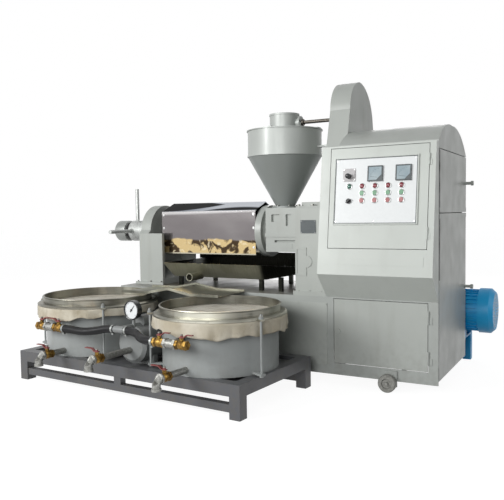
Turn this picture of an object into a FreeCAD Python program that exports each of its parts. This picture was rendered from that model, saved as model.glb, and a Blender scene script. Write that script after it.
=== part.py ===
import FreeCAD, Part
import math
import os

os.makedirs("parts", exist_ok=True)
V = FreeCAD.Vector

# Combined screw oil press with two vacuum filter drums.
# Origin on the floor under the middle of the machine, X along the screw, Y to the back, Z up.

# Running fits and gaps
shaft_gap = 0.05
rest_gap = 0.3
door_gap = 3.0

# Press base
base_left = -980.0
base_right = 1100.0
base_front = 10.0
base_depth = 700.0
base_clearance = 55.0
base_height = 434.0
sheet = 6.0
rim = 40.0
corner_flange = 20.0
base_back = base_front + base_depth
base_top = base_clearance + base_height

# Screw line
screw_y = base_front + base_depth / 2
screw_z = base_top + 356.0
screw_radius = 62.0
screw_core = 34.0
screw_pitch = 96.0
flight_thickness = 12.0
screw_shaft = 30.0

# Drive cabinet and its doors
cabinet_left = 504.0
cabinet_top = 1277.0
door_thickness = 20.0
cabinet_right = base_right
outer_right = base_right + door_thickness
side_gap = 10.0
upper_door_low = 948.0
upper_door_high = 1273.0
lower_door_low = 75.0
lower_door_high = 944.0
knob_drop = 154.0
lower_knob_z = 501.0
base_hinge_low = 150.0
hinge_radius = 4.5
hinge_pin = 2.5
roof_front_z = 1318.0
roof_peak_y = screw_y - 32.0
roof_peak_z = 1418.0

# Electric box with its sloping face
face_low_depth = 130.0
face_low_z = 627.0
face_high_depth = 42.0
face_high_z = 1310.0
box_sheet = 4.0
edoor_left = 560.0
edoor_right = 1086.0
edoor_low = 142.0
edoor_high = 676.0
edoor_depth = 22.0
strip_low = 54.0
strip_high = 100.0
plate_left = 590.0
plate_right = 1031.0
plate_low = 272.0
plate_high = 618.0
plate_thickness = 3.0

# Panel fittings
button_columns = [742.0, 812.0, 882.0, 952.0]
lamp_row = 469.0
start_row = 432.0
stop_row = 393.0
button_radius = 12.0
button_stem = 4.0
button_travel = 4.0
bezel_radius = 16.0
bezel_height = 6.0
meter_size = 82.0
meter_depth = 9.0
meter_places = [(811.0, 533.0), (960.0, 532.5)]
switch_place = (668.5, 530.0)
switch_size = 70.0
selector_place = (670.0, 391.0)
pilot_place = (671.5, 469.0)

# Gearbox
gearbox_left = 310.0
gearbox_right = 500.0
gearbox_front = 20.0
gearbox_back = 700.0
gearbox_top = 983.0
gearbox_wall = 12.0
lid_height = 36.0
gear_module = 5.0
big_teeth = 48
small_teeth = 12
gear_face = 40.0
gear_center = gear_module * (big_teeth + small_teeth) / 2
lay_y = screw_y + gear_center * math.cos(math.radians(45))
lay_z = screw_z - gear_center * math.sin(math.radians(45))

# Belt drive
belt_x = 660.0
belt_count = 3
belt_pitch = 24.0
belt_width = 13.0
belt_height = 9.0
big_pulley = 250.0
motor_pulley = 83.0
input_shaft = 24.0
motor_y = 859.2
rear_reach = 130.0
motor_z = 336.0
motor_radius = 130.0
motor_left = 810.0
motor_right = 1272.5
motor_shaft = 19.0

# Feeder
hopper_x = 84.0
hopper_rim = 1474.0
hopper_radius = 232.0
hopper_band = 163.0
hopper_seam = hopper_rim - hopper_band
hopper_low = 990.0
throat_radius = 56.0
hopper_wall = 4.0
feeder_radius = 92.0
feeder_top = 1575.0
feeder_z = 1516.0
feeder_shaft = 11.0
feeder_pulley = 120.0
feeder_drive_pulley = 60.0
feeder_belt_x = 548.0
guard_left = 464.0
guard_right = 585.0
bevel_teeth = 16
bevel_radius = 31.0
bevel_face = 13.0
auger_shaft = 12.0
auger_radius = 44.0

# Feed block and press cage
block_left = 20.0
block_half = 150.0
block_low = 720.0
ring_radius = 164.0
cage_left = -782.0
cage_right = -44.0
cage_bore = 64.0
cage_bars = 24
cage_bar_depth = 22.0
cage_ribs = 6
rib_width = 26.0
rib_radius = 128.0
rib_step = (cage_right - 8 - cage_left - rib_width) / (cage_ribs - 1)
hood_left = -783.0
hood_right = -58.0
hood_sheet = 3.0
ear_reach = 134.0
hood_half = ear_reach + hood_sheet + 3
hood_low = 700.0
hood_clear = 4.0
hood_bend = screw_z + rib_radius + hood_clear
hood_rise = 57.0
hood_ridge = hood_bend + hood_rise

# End frame and adjusting hub
end_left = -934.0
end_right = -742.0
end_half = 200.0
end_shoulder = 833.0
arch_radius = 177.0
arch_right = -854.0
hub_left = -1272.5
hub_radius = 73.0
hub_neck = 58.0
tommy_radius = 13.0
tommy_reach = 300.0
tommy_weld = 8.0

# Oil pan under the cage
pan_left = -651.0
pan_right = 83.0
pan_front = 47.0
pan_back = 610.0
pan_rim = 648.0
pan_floor = 560.0
chute_right = 288.0
chute_rise = 38.0
splash_top = 690.0
splash_gap = 2.0
spout_x = -399.0
spout_radius = 24.0

# Oil divider that lies across both drums
divider_x = -362.0
divider_half = 345.0
divider_flat = 150.0
divider_rise = 28.0
divider_front = -300.0
divider_back = 0.0

# Filter station, built square and then turned into place
station_turn = -3.8
station_corner = V(403.0, -790.0, 0.0)
station_length = 1570.0
station_depth = 700.0
station_top = 168.0
station_tube = 60.0
deck_z = 148.0
drum_places = [(-1249.0, 330.0), (-330.0, 315.0)]
drum_radius = 306.0
drum_wall = 4.0
drum_rim = 440.0
lip_radius = 352.0
pan_wall_radius = 316.0
pan_wall_top = 492.0
cloth_low = 365.0
rod_circle = 367.0
rod_angles = [(-40.0, 80.0, 200.0), (-22.0, 98.0, 218.0)]
tank_x = -750.0
tank_z = 268.0
tank_front = 80.0
tank_back = 620.0
tank_radius = 100.0
header_z = 385.0
header_radius = 35.0
pipe_radius = 17.0
valve_radius = 22.0
valve_length = 66.0
hose_radius = 21.0
chain_lever = 66.0
drain_lever = 80.0
manifold_z = 363.0
manifold_y = 0.0
manifold_half = 36.0


def block(x0, x1, y0, y1, z0, z1):
    return Part.makeBox(x1 - x0, y1 - y0, z1 - z0, V(x0, y0, z0))


def at(axis, along, u, v):
    if axis == "x":
        return V(along, u, v)
    if axis == "y":
        return V(u, along, v)
    return V(u, v, along)


def bar(axis, radius, start, stop, u, v):
    return Part.makeCylinder(radius, stop - start, at(axis, start, u, v), at(axis, 1, 0, 0))


def pipe(axis, outer, inner, start, stop, u, v):
    return bar(axis, outer, start, stop, u, v).cut(bar(axis, inner, start - 1, stop + 1, u, v))


def plate(axis, outline, start, stop):
    corners = [at(axis, start, u, v) for u, v in outline]
    face = Part.Face(Part.makePolygon(corners + [corners[0]]))
    return face.extrude(at(axis, stop - start, 0, 0))


def turned(axis, outline, u, v):
    corners = [at(axis, along, u + radius, v) for radius, along in outline]
    face = Part.Face(Part.makePolygon(corners + [corners[0]]))
    return face.revolve(at(axis, 0, u, v), at(axis, 1, 0, 0), 360)


def fuse(shapes):
    return shapes[0].multiFuse(shapes[1:]).removeSplitter()


def cut(shape, tools):
    for tool in tools:
        shape = shape.cut(tool)
    return shape


def group(shapes):
    return Part.makeCompound(shapes)


def spin(shape, base, direction, angle):
    turned_shape = shape.copy()
    turned_shape.rotate(base, direction, angle)
    return turned_shape


def save(name, shape):
    shape.exportStep("parts/" + name + ".step")


def hinge(x, y, low, height, fixed_tab, moving_tab):
    """Lift-off hinge on a vertical pin: a knuckle that stays, with the pin, and one that swings."""
    middle = low + height / 2
    fixed = [bar("z", hinge_radius, low, middle, x, y), fixed_tab(low, middle)]
    fixed.append(bar("z", hinge_pin, middle, low + height - 2, x, y))
    moving = bar("z", hinge_radius, middle + rest_gap, low + height, x, y)
    moving = moving.fuse(moving_tab(middle + rest_gap, low + height))
    moving = moving.cut(bar("z", hinge_pin + shaft_gap, middle, low + height + 1, x, y))
    return fuse(fixed), moving


def gear(teeth, module, face, start, y, z, phase, bore):
    """Spur gear along X with straight-flanked teeth; phase turns the first tooth in degrees."""
    pitch = teeth * module / 2
    tip = pitch + module * 0.85
    root = pitch - module * 1.25
    step = 2 * math.pi / teeth
    widths = [(root, 0.30), (pitch, 0.215), (tip, 0.085)]
    outline = []
    for tooth in range(teeth):
        middle = tooth * step + math.radians(phase)
        for radius, share in widths:
            angle = middle - share * step
            outline.append((y + radius * math.cos(angle), z + radius * math.sin(angle)))
        for radius, share in reversed(widths):
            angle = middle + share * step
            outline.append((y + radius * math.cos(angle), z + radius * math.sin(angle)))
    return plate("x", outline, start, start + face).cut(bar("x", bore, start - 1, start + face + 1, y, z))


def bevel(phase):
    """Mitre gear about Z with its cone's point at the origin and its teeth below the point."""
    pitch = 360.0 / bevel_teeth
    near = bevel_radius - bevel_face
    blank = turned("z", [(0, -near), (near - 3.5, -near), (bevel_radius - 4.5, -bevel_radius),
                         (bevel_radius - 4.5, -bevel_radius - 3), (0, -bevel_radius - 3)], 0, 0)
    teeth = [blank]
    for index in range(bevel_teeth):
        wires = []
        for radius in (near, bevel_radius):
            tall = radius * 0.075
            half = radius * math.sin(math.radians(pitch * 0.19))
            thin = half * 0.45
            low = radius * 0.15
            corners = [V(radius - low, -half * 1.2, -radius - low),
                       V(radius - low, half * 1.2, -radius - low),
                       V(radius + tall, thin, -radius + tall), V(radius + tall, -thin, -radius + tall)]
            wires.append(Part.makePolygon(corners + [corners[0]]))
        tooth = Part.makeLoft(wires, True, True)
        teeth.append(spin(tooth, V(0, 0, 0), V(0, 0, 1), phase + index * pitch))
    return fuse(teeth)


def helix_flight(core, outer, pitch, turns, thickness, start):
    """Screw flight about Z from start upwards, seated in a shaft of the core radius."""
    spine = Part.makeHelix(pitch, pitch * turns, outer)
    inner = core - 1.0
    corners = [V(inner, 0, 0), V(outer, 0, 0), V(outer, 0, thickness), V(inner, 0, thickness)]
    section = Part.makePolygon(corners + [corners[0]])
    flight = Part.Wire(spine).makePipeShell([section], True, True)
    flight.translate(V(0, 0, start))
    return flight


def belt_loop(first, first_radius, second, second_radius):
    """Closed wire of the open belt round two circles in the YZ plane, at x = 0."""
    dy = second[0] - first[0]
    dz = second[1] - first[1]
    reach = math.hypot(dy, dz)
    heading = math.atan2(dz, dy)
    lean = math.acos((first_radius - second_radius) / reach)

    def point(centre, radius, angle):
        return V(0, centre[0] + radius * math.cos(angle), centre[1] + radius * math.sin(angle))

    upper = heading + lean
    lower = heading - lean
    first_arc = Part.Arc(point(first, first_radius, upper), point(first, first_radius, heading + math.pi),
                         point(first, first_radius, lower))
    second_arc = Part.Arc(point(second, second_radius, lower), point(second, second_radius, heading),
                          point(second, second_radius, upper))
    run_out = Part.LineSegment(point(first, first_radius, lower), point(second, second_radius, lower))
    run_back = Part.LineSegment(point(second, second_radius, upper), point(first, first_radius, upper))
    return Part.Wire([first_arc.toShape(), run_out.toShape(), second_arc.toShape(), run_back.toShape()])


def belt(x, width, height, first, first_radius, second, second_radius):
    outer = Part.Face(belt_loop(first, first_radius + height, second, second_radius + height))
    inner = Part.Face(belt_loop(first, first_radius, second, second_radius))
    band = outer.cut(inner).extrude(V(width, 0, 0))
    band.translate(V(x - width / 2, 0, 0))
    return band


def grooved_pulley(radius, places, y, z, bore, width):
    """Pulley about X with a groove for each belt; radius is where the belts' inner faces run."""
    rim_radius = radius + belt_height + 1
    half = belt_width / 2 + 1
    left = min(places) - width / 2
    right = max(places) + width / 2
    outline = [(bore, left), (rim_radius, left)]
    for place in places:
        outline += [(rim_radius, place - half), (radius - rest_gap, place - half),
                    (radius - rest_gap, place + half), (rim_radius, place + half)]
    outline += [(rim_radius, right), (bore, right)]
    return turned("x", outline, y, z)


# Press base: sheet box, open below, with bearing plates for two wheel axles
wheel_radius = 48.0
wheel_width = 36.0
axle_radius = 10.0
axle_places = [base_left + 250.0, base_right - 240.0]
wheel_gaps = [-12.0, 14.0]
bearing_plate = 10.0
front_door_left = 546.0
front_door_right = 1068.0
front_door_low = 119.0
front_door_high = 482.0
cover_left = -28.0
cover_right = 496.0
cover_low = 118.0
cover_high = 441.0
belt_slot_left = belt_x - 60.0
belt_slot_right = belt_x + 60.0
belt_slot_front = screw_y + 60.0


def side_hinge(low):
    """Hinge on the press's right side that carries a side door, 60 mm tall."""
    x = cabinet_right + door_thickness - 4
    y = base_front + sheet + side_gap / 2
    return hinge(x, y, low, 60.0,
                 lambda a, b: block(x - 3, x + 3, y - side_gap / 2, y, a, b),
                 lambda a, b: block(x - 3, x + 3, y, y + side_gap / 2, a, b))


def make_base():
    outer = block(base_left, base_right, base_front, base_back, base_clearance, base_top)
    hollow = block(base_left + sheet, base_right - sheet, base_front + sheet, base_back - sheet,
                   base_clearance + sheet, base_top - sheet)
    open_floor = block(base_left + rim, base_right - rim, base_front + rim, base_back - rim,
                       base_clearance - 1, base_clearance + sheet + 1)
    front_opening = block(front_door_left, front_door_right, base_front - 1, base_front + sheet + 1,
                          front_door_low, front_door_high)
    cover_opening = block(cover_left, cover_right, base_front - 1, base_front + sheet + 1,
                          cover_low, cover_high)
    side_opening = block(base_right - sheet - 1, base_right + 1, base_front + rim, base_back - rim,
                         base_clearance + rim, base_top - rim)
    belt_slot = block(belt_slot_left, belt_slot_right, belt_slot_front, base_back + 1, 220, base_top + 1)
    body = cut(outer, [hollow, open_floor, front_opening, cover_opening, side_opening, belt_slot])
    post_x = (cover_right + front_door_left) / 2
    post = block(post_x - 3, post_x + 3, base_front + sheet, base_back - sheet,
                 base_clearance + sheet, base_top - sheet)
    flange = block(base_right, outer_right, base_front, base_front + sheet, base_clearance, base_top)
    parts = [body, post, flange]
    for place in axle_places:
        for y in (base_front - bearing_plate, base_back):
            parts.append(block(place - 45, place + 45, y, y + bearing_plate, 26, 110))
    x = front_door_right + door_gap / 2
    y = base_front - hinge_radius - 0.5
    doors = [block(front_door_left + door_gap, front_door_right - door_gap, base_front, base_front + sheet,
                   front_door_low + door_gap, front_door_high - door_gap)]
    for low in (front_door_low + 40, front_door_high - 110):
        fixed, moving = hinge(x, y, low, 70.0,
                              lambda a, b: block(x, x + 20, base_front - 3, base_front, a, b),
                              lambda a, b: block(x - 20, x, base_front - 3, base_front, a, b))
        parts.append(fixed)
        doors.append(moving)
    parts.append(side_hinge(base_hinge_low)[0])
    base = fuse(parts)
    place = axle_places[0]
    for low in (base_front + sheet, base_back - sheet - rim):
        base = base.cut(block(place - 60, place + 60, low, low + rim,
                              base_clearance - 1, base_clearance + sheet + 1))
    for place in axle_places:
        base = base.cut(bar("y", axle_radius + 1, base_front - 0.5, base_back + 0.5, place, wheel_radius))
        base = base.cut(bar("y", axle_radius + shaft_gap, base_front - 20, base_back + 20,
                            place, wheel_radius))
    lock = bar("y", 14, base_front - 6, base_front, front_door_left + 26,
               (front_door_low + front_door_high) / 2)
    doors.append(lock)
    door = fuse(doors)
    cover = block(cover_left - 12, cover_right + 12, base_front - 3, base_front,
                  cover_low - 12, cover_high + 12)
    save("base_frame", base)
    save("base_door", door)
    save("base_cover", cover)


def make_wheels():
    for name, place, track in zip(("wheels_left", "wheels_right"), axle_places, wheel_gaps):
        front = base_front - track
        back = base_back + track
        end = bearing_plate + 6 if track < 0 else track + wheel_width + 6
        parts = [bar("y", axle_radius, base_front - end, base_back + end, place, wheel_radius)]
        if track < 0:
            front += wheel_width
            back -= wheel_width
        for near, far, out in ((front, front - wheel_width, -1), (back, back + wheel_width, 1)):
            tread = [(axle_radius - 1, near), (wheel_radius - 5, near), (wheel_radius, near + out * 6),
                     (wheel_radius, far - out * 6), (wheel_radius - 5, far), (28, far),
                     (24, far - out * 6), (axle_radius - 1, far - out * 6)]
            parts.append(turned("y", tread, place, wheel_radius))
        save(name, fuse(parts))


def make_cabinet():
    outer = block(cabinet_left, cabinet_right, base_front, base_back, base_top, cabinet_top)
    wall = 4.0
    hollow = block(cabinet_left + wall, cabinet_right - wall, base_front + wall, base_back - wall,
                   base_top - 1, cabinet_top + 1)
    side = block(cabinet_right - wall - 1, cabinet_right + 1, base_front + 30, base_back - 30,
                 base_top + 30, cabinet_top - 30)
    slot = block(belt_slot_left, belt_slot_right, base_back - wall - 1, base_back + 1,
                 base_top - 1, base_top + 420)
    shaft_hole = bar("x", input_shaft + 20, cabinet_left - 1, cabinet_left + wall + 1, screw_y, screw_z)
    body = cut(outer, [hollow, side, slot, shaft_hole])
    flange = block(cabinet_right, outer_right, base_front, base_front + sheet, base_top, cabinet_top)
    pillow = block(belt_x + 80, belt_x + 130, screw_y - 60, screw_y + 60, base_top, screw_z + 60)
    pillow = pillow.cut(bar("x", input_shaft + shaft_gap, belt_x + 70, belt_x + 140, screw_y, screw_z))
    parts = [body, flange]
    doors = {"side_door_upper": [], "side_door_lower": [side_hinge(base_hinge_low)[1]]}
    spots = [("side_door_upper", 1130.0), ("side_door_upper", 985.0), ("side_door_lower", 800.0)]
    for name, low in spots:
        fixed, moving = side_hinge(low)
        parts.append(fixed)
        doors[name].append(moving)
    save("drive_cabinet", group([fuse(parts), pillow]))
    for name, low, high, hem in (("side_door_upper", upper_door_low, upper_door_high, upper_door_low),
                                 ("side_door_lower", lower_door_low, lower_door_high, lower_door_high - 26)):
        front = base_front + sheet + side_gap
        pan = block(cabinet_right + rest_gap, outer_right, front, base_back, low, high)
        inside = block(cabinet_right - 1, outer_right - 2.5, front + 2.5, base_back - 2.5,
                       low + 2.5, high - 2.5)
        skin = [pan.cut(inside), block(outer_right, outer_right + 1.5, front, base_back, hem, hem + 26)]
        knob_z = high - knob_drop if name == "side_door_upper" else lower_knob_z
        skin.append(bar("x", 9, outer_right, outer_right + 32, base_back - 14, knob_z))
        skin.append(bar("x", 14, outer_right + 32, outer_right + 46, base_back - 14, knob_z))
        save(name, fuse(skin + doors[name]))


def roof_outline(inset):
    """Arch of the belt guard's roof, moved inwards by the inset."""
    low = cabinet_top
    start = V(0, base_front + inset, low)
    rise = V(0, base_front + inset, roof_front_z)
    front = V(0, base_front + 112 + inset * 0.7, 1388 - inset * 0.8)
    peak = V(0, roof_peak_y, roof_peak_z - inset)
    back = V(0, screw_y + 192 - inset * 0.5, 1383 - inset)
    stop = V(0, base_back - inset, low)
    edges = [Part.LineSegment(start, rise), Part.Arc(rise, front, peak), Part.Arc(peak, back, stop),
             Part.LineSegment(stop, start)]
    return Part.Face(Part.Wire([edge.toShape() for edge in edges]))


def make_guards():
    wall = 4.0
    roof = roof_outline(0).extrude(V(outer_right - guard_right, 0, 0))
    roof.translate(V(guard_right, 0, 0))
    inside = roof_outline(wall).extrude(V(outer_right - guard_right - 2 * wall, 0, 0))
    inside.translate(V(guard_right + wall, 0, 0))
    floor = block(guard_right + wall, cabinet_right - wall, base_front + wall, base_back - wall,
                  cabinet_top - 1, cabinet_top + wall)
    save("roof_guard", roof.cut(inside).cut(floor))

    def fin(inset):
        low = cabinet_top
        points = [(screw_y - 260 + inset, low), (screw_y - 237 + inset, 1331), (screw_y - 175 + inset, 1542)]
        start = [V(0, y, z) for y, z in points]
        top = V(0, screw_y - 5, 1717 - inset)
        shoulder = V(0, screw_y - 118 + inset * 0.7, 1672 - inset * 0.7)
        back_shoulder = V(0, screw_y + 130 - inset * 0.7, 1665 - inset * 0.7)
        back = V(0, screw_y + 217 - inset, 1520)
        foot = V(0, screw_y + 262 - inset, low)
        lines = [Part.LineSegment(start[0], start[1]), Part.LineSegment(start[1], start[2]),
                 Part.Arc(start[2], shoulder, top), Part.Arc(top, back_shoulder, back),
                 Part.LineSegment(back, foot), Part.LineSegment(foot, start[0])]
        return Part.Face(Part.Wire([line.toShape() for line in lines]))

    thin = 3.0
    guard = fin(0).extrude(V(guard_right - guard_left, 0, 0))
    guard.translate(V(guard_left, 0, 0))
    room = fin(thin).extrude(V(guard_right - guard_left - 2 * thin, 0, 0))
    room.translate(V(guard_left + thin, 0, 0))
    guard = guard.cut(room)
    floor = block(guard_left, cabinet_left, screw_y - 260, screw_y + 262, cabinet_top, cabinet_top + thin)
    guard = guard.fuse(floor)
    guard = guard.cut(block(cabinet_left + 4, guard_right - thin, screw_y - 250, screw_y + 250,
                            cabinet_top - 1, cabinet_top + thin + 1))
    guard = guard.cut(bar("x", feeder_shaft + 4, guard_left - 1, guard_left + thin + 1, screw_y, feeder_z))
    bearing = pipe("x", 26, feeder_shaft + shaft_gap, guard_right - thin - 16, guard_right - thin,
                   screw_y, feeder_z)
    save("feeder_guard", fuse([guard, bearing]))
    guard_back = motor_y + rear_reach
    shell = block(belt_slot_left, belt_slot_right, base_back, guard_back, 170, base_top + 420)
    room = block(belt_slot_left + thin, belt_slot_right - thin, base_back - 1, guard_back - thin,
                 170 + thin, base_top + 420 - thin)
    slope = plate("x", [(base_back + 140, base_top + 421), (guard_back + 1, base_top + 421),
                        (guard_back + 1, 620)], belt_slot_left - 1, belt_slot_right + 1)
    skin = plate("x", [(base_back + 140, base_top + 420), (guard_back, 620), (guard_back, 616),
                       (base_back + 136, base_top + 420)], belt_slot_left, belt_slot_right)
    shaft_way = bar("x", motor_shaft + 6, belt_slot_right - thin - 1, belt_slot_right + 1, motor_y, motor_z)
    save("rear_guard", cut(shell.cut(room).cut(slope).fuse(skin), [shaft_way]))


face_foot = V(0, base_front - face_low_depth, face_low_z)
face_lean = math.degrees(math.atan2(face_low_depth - face_high_depth, face_high_z - face_low_z))


def on_face(shape):
    """Carry a shape from the flat layout (x, depth behind the face, height) onto the sloping face."""
    placed = shape.copy()
    placed.rotate(V(0, 0, 0), V(1, 0, 0), -face_lean)
    placed.translate(face_foot)
    return placed


def make_electric_box():
    low = (base_front - face_low_depth, face_low_z)
    high = (base_front - face_high_depth, face_high_z)
    outline = [(base_front, base_top), low, high, (base_front, face_high_z)]
    shell = plate("x", outline, cabinet_left, outer_right)
    t = box_sheet
    inner = [(base_front - t, base_top + 2 * t), (low[0] + t, low[1] + t), (high[0] + t, high[1] - t),
             (base_front - t, high[1] - t)]
    room = plate("x", inner, cabinet_left + t, outer_right - t)
    opening = on_face(block(edoor_left - door_gap, edoor_right + door_gap, -10, 30,
                            edoor_low - door_gap, edoor_high + door_gap))
    body = shell.cut(room).cut(opening)
    strip = on_face(block(cabinet_left + 34, outer_right - 47, -1.5, 0.5, strip_low, strip_high))
    x = edoor_right + door_gap / 2
    leaves = []
    door = [block(edoor_left, edoor_right, 0, edoor_depth, edoor_low, edoor_high)]
    door[0] = door[0].cut(block(edoor_left + 2.5, edoor_right - 2.5, 2.5, edoor_depth + 1,
                                edoor_low + 2.5, edoor_high - 2.5))
    y = -hinge_radius - 0.5
    for spot in (edoor_low + 50, edoor_high - 110):
        fixed, moving = hinge(x, y, spot, 60.0,
                              lambda a, b: block(x, x + 14, -2.5, 0, a, b),
                              lambda a, b: block(x - 14, x, -2.5, 0, a, b))
        leaves.append(on_face(fixed))
        door.append(moving)
    save("electric_box", fuse([body, strip] + leaves))
    door_skin = fuse(door)
    for column in button_columns:
        for row in (start_row, stop_row):
            door_skin = door_skin.cut(bar("y", button_stem + 0.5, -1, 4, column, row))
    save("electric_door", on_face(door_skin))


def panel_bezel(x, s):
    return pipe("y", bezel_radius, button_radius + 0.4, -plate_thickness - bezel_height, -plate_thickness,
                x, s)


def make_panel():
    panel = block(plate_left, plate_right, -plate_thickness, 0, plate_low, plate_high)
    lip = block(plate_left - 7, plate_right + 7, -7, 0, plate_low - 7, plate_high + 7)
    lip = lip.cut(block(plate_left, plate_right, -8, 1, plate_low, plate_high))
    parts = [panel, lip]
    lamps = []
    for column in button_columns:
        for row in (lamp_row, start_row, stop_row):
            parts.append(panel_bezel(column, row))
        lamps.append((column, lamp_row))
    lamps.append(pilot_place)
    parts.append(panel_bezel(*pilot_place))
    for x, s in lamps:
        parts.append(turned("y", [(0, -plate_thickness), (button_radius + 0.4, -plate_thickness),
                                  (button_radius + 0.4, -9), (9, -13), (0, -15)], x, s))
    for x, s in meter_places:
        half = meter_size / 2
        parts.append(block(x - half, x + half, -plate_thickness - meter_depth, -plate_thickness,
                           s - half, s + half))
    x, s = switch_place
    half = switch_size / 2
    parts.append(block(x - half, x + half, -plate_thickness - 4, -plate_thickness, s - half, s + half))
    body = fuse(parts)
    for x, s in meter_places:
        window = meter_size / 2 - 7
        corner = plate("y", [(x - window, s - window), (x + window - 30, s - window),
                             (x + window, s - window + 30),
                             (x + window, s + window), (x - window, s + window)],
                       -plate_thickness - meter_depth - 1, -plate_thickness - meter_depth + 2.5)
        body = body.cut(corner)
    for column in button_columns:
        for row in (start_row, stop_row):
            body = body.cut(bar("y", button_stem + 0.3, -4, 1, column, row))
    body = body.cut(bar("y", 4.05, -8, -2, switch_place[0], switch_place[1] - 8))
    body = body.cut(bar("y", 6.05, -8, -2, *selector_place))
    save("control_plate", on_face(body))
    for kind, row in (("start", start_row), ("stop", stop_row)):
        for index, column in enumerate(button_columns, 1):
            cap = bar("y", button_radius, -plate_thickness - 10, -plate_thickness - 5, column, row)
            stem = bar("y", button_stem, -plate_thickness - 5, 12, column, row)
            save("button_" + kind + "_" + str(index), on_face(cap.fuse(stem)))
    x, s = switch_place
    ball = Part.makeSphere(14, V(x, -plate_thickness - 26, s - 8))
    stem = bar("y", 4.0, -plate_thickness - 16, -2.2, x, s - 8)
    save("switch_knob", on_face(ball.fuse(stem)))
    x, s = selector_place
    collar = bar("y", 14, -plate_thickness - 8, -plate_thickness - rest_gap, x, s)
    grip = block(x - 4, x + 4, -plate_thickness - 20, -plate_thickness - 8, s - 14, s + 14)
    grip = spin(grip, V(x, 0, s), V(0, 1, 0), 45)
    save("selector_knob", on_face(fuse([collar, grip, bar("y", 6, -plate_thickness - 1, -2.2, x, s)])))


def make_gearbox():
    t = gearbox_wall
    outer = block(gearbox_left, gearbox_right, gearbox_front, gearbox_back, base_top, gearbox_top)
    room = block(gearbox_left + t, gearbox_right - t, gearbox_front + t, gearbox_back - t,
                 base_top + t, gearbox_top + 1)
    web_x = gearbox_left + t + gear_face + 20
    web = block(web_x, web_x + 14, screw_y - 80, gearbox_back - t, base_top + t, gearbox_top)
    foot = block(gearbox_left - 12, gearbox_right, gearbox_front - 8, gearbox_front, base_top, base_top + 24)
    plate_rim = [block(gearbox_left + 2, gearbox_left + 70, gearbox_front - 4, gearbox_front, 600, 762)]
    plate_rim.append(bar("y", 34, gearbox_front - 4, gearbox_front, gearbox_left + 70, 681))
    name_plate = block(gearbox_left + 36, gearbox_left + 130, gearbox_front - 2, gearbox_front, 842, 916)
    seat = pipe("x", 66, 40, gearbox_left - 8, gearbox_left, screw_y, screw_z)
    box = fuse([outer.cut(room), web, foot, seat, name_plate] + plate_rim)
    recess = block(gearbox_left + 12, gearbox_left + 66, gearbox_front - 5, gearbox_front - 1, 612, 750)
    box = box.cut(recess)
    box = box.cut(bar("x", screw_shaft + shaft_gap, gearbox_left - 20, web_x + 20, screw_y, screw_z))
    box = box.cut(bar("x", input_shaft + shaft_gap, web_x + 20, gearbox_right + 1, screw_y, screw_z))
    lay_bore = bar("x", 16 + shaft_gap, gearbox_left + t / 2, gearbox_right - t / 2, lay_y, lay_z)
    box = box.cut(lay_bore)
    lid = block(gearbox_left - 6, gearbox_right, gearbox_front + 28, gearbox_back - 28,
                gearbox_top, gearbox_top + 14)
    crown = block(gearbox_left + 16, gearbox_right - 20, gearbox_front + 60, gearbox_back - 60,
                  gearbox_top + 14, gearbox_top + lid_height)
    vent = bar("z", 14, gearbox_top + lid_height, gearbox_top + lid_height + 24,
               gearbox_left + 100, gearbox_back - 120)
    save("gearbox_housing", group([box, fuse([lid, crown, vent])]))
    first = gearbox_left + t + 12
    second = web_x + 14 + 22
    lay = bar("x", 16, gearbox_left + t / 2 + 1, gearbox_right - t / 2 - 1, lay_y, lay_z)
    small = gear(small_teeth, gear_module, gear_face, first, lay_y, lay_z, 135, 15)
    big = gear(big_teeth, gear_module, gear_face, second, lay_y, lay_z, 135, 15)
    save("gear_layshaft", fuse([lay, small, big]))
    return first, second, web_x


def make_screw(first, web_x):
    shaft = bar("x", screw_shaft, arch_right - 40, web_x + 13, screw_y, screw_z)
    core = bar("x", screw_core, end_right - 40, block_left + 255, screw_y, screw_z)
    parts = [shaft, core]
    turns = (block_left + 200 - cage_left - 20) / screw_pitch
    flight = helix_flight(screw_core, screw_radius, screw_pitch, turns, flight_thickness, cage_left + 20)
    flight.rotate(V(0, 0, 0), V(0, 1, 0), 90)
    flight.translate(V(0, screw_y, screw_z))
    parts.append(flight)
    wheel = gear(big_teeth, gear_module, gear_face, first, screw_y, screw_z, -45 + 180 / big_teeth,
                 screw_shaft - 1)
    parts.append(wheel)
    save("press_screw", fuse(parts))


def make_input(second):
    start = second - 6
    shaft = bar("x", input_shaft, start, belt_x + 150, screw_y, screw_z)
    pinion = gear(small_teeth, gear_module, gear_face, second, screw_y, screw_z, -45 + 180 / small_teeth,
                  input_shaft - 1)
    places = [belt_x + (index - (belt_count - 1) / 2) * belt_pitch for index in range(belt_count)]
    wheel = grooved_pulley(big_pulley, places, screw_y, screw_z, input_shaft - 1, 24)
    for angle in range(0, 360, 72):
        window = bar("x", 62, belt_x - 80, belt_x + 80, screw_y + 150, screw_z)
        wheel = wheel.cut(spin(window, V(0, screw_y, screw_z), V(1, 0, 0), angle))
    small = grooved_pulley(feeder_drive_pulley, [feeder_belt_x], screw_y, screw_z, input_shaft - 1, 30)
    save("input_shaft", fuse([shaft, pinion, wheel, small]))
    motor = grooved_pulley(motor_pulley, places, motor_y, motor_z, motor_shaft - 1, 24)
    spindle = bar("x", motor_shaft, places[0] - 16, motor_left - 1, motor_y, motor_z)
    save("motor_shaft", fuse([motor, spindle]))
    bands = [belt(place, belt_width, belt_height, (screw_y, screw_z), big_pulley, (motor_y, motor_z),
                  motor_pulley)
             for place in places]
    bands.append(belt(feeder_belt_x, belt_width, belt_height, (screw_y, screw_z), feeder_drive_pulley,
                      (screw_y, feeder_z), feeder_pulley))
    save("drive_belts", group(bands))


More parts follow.
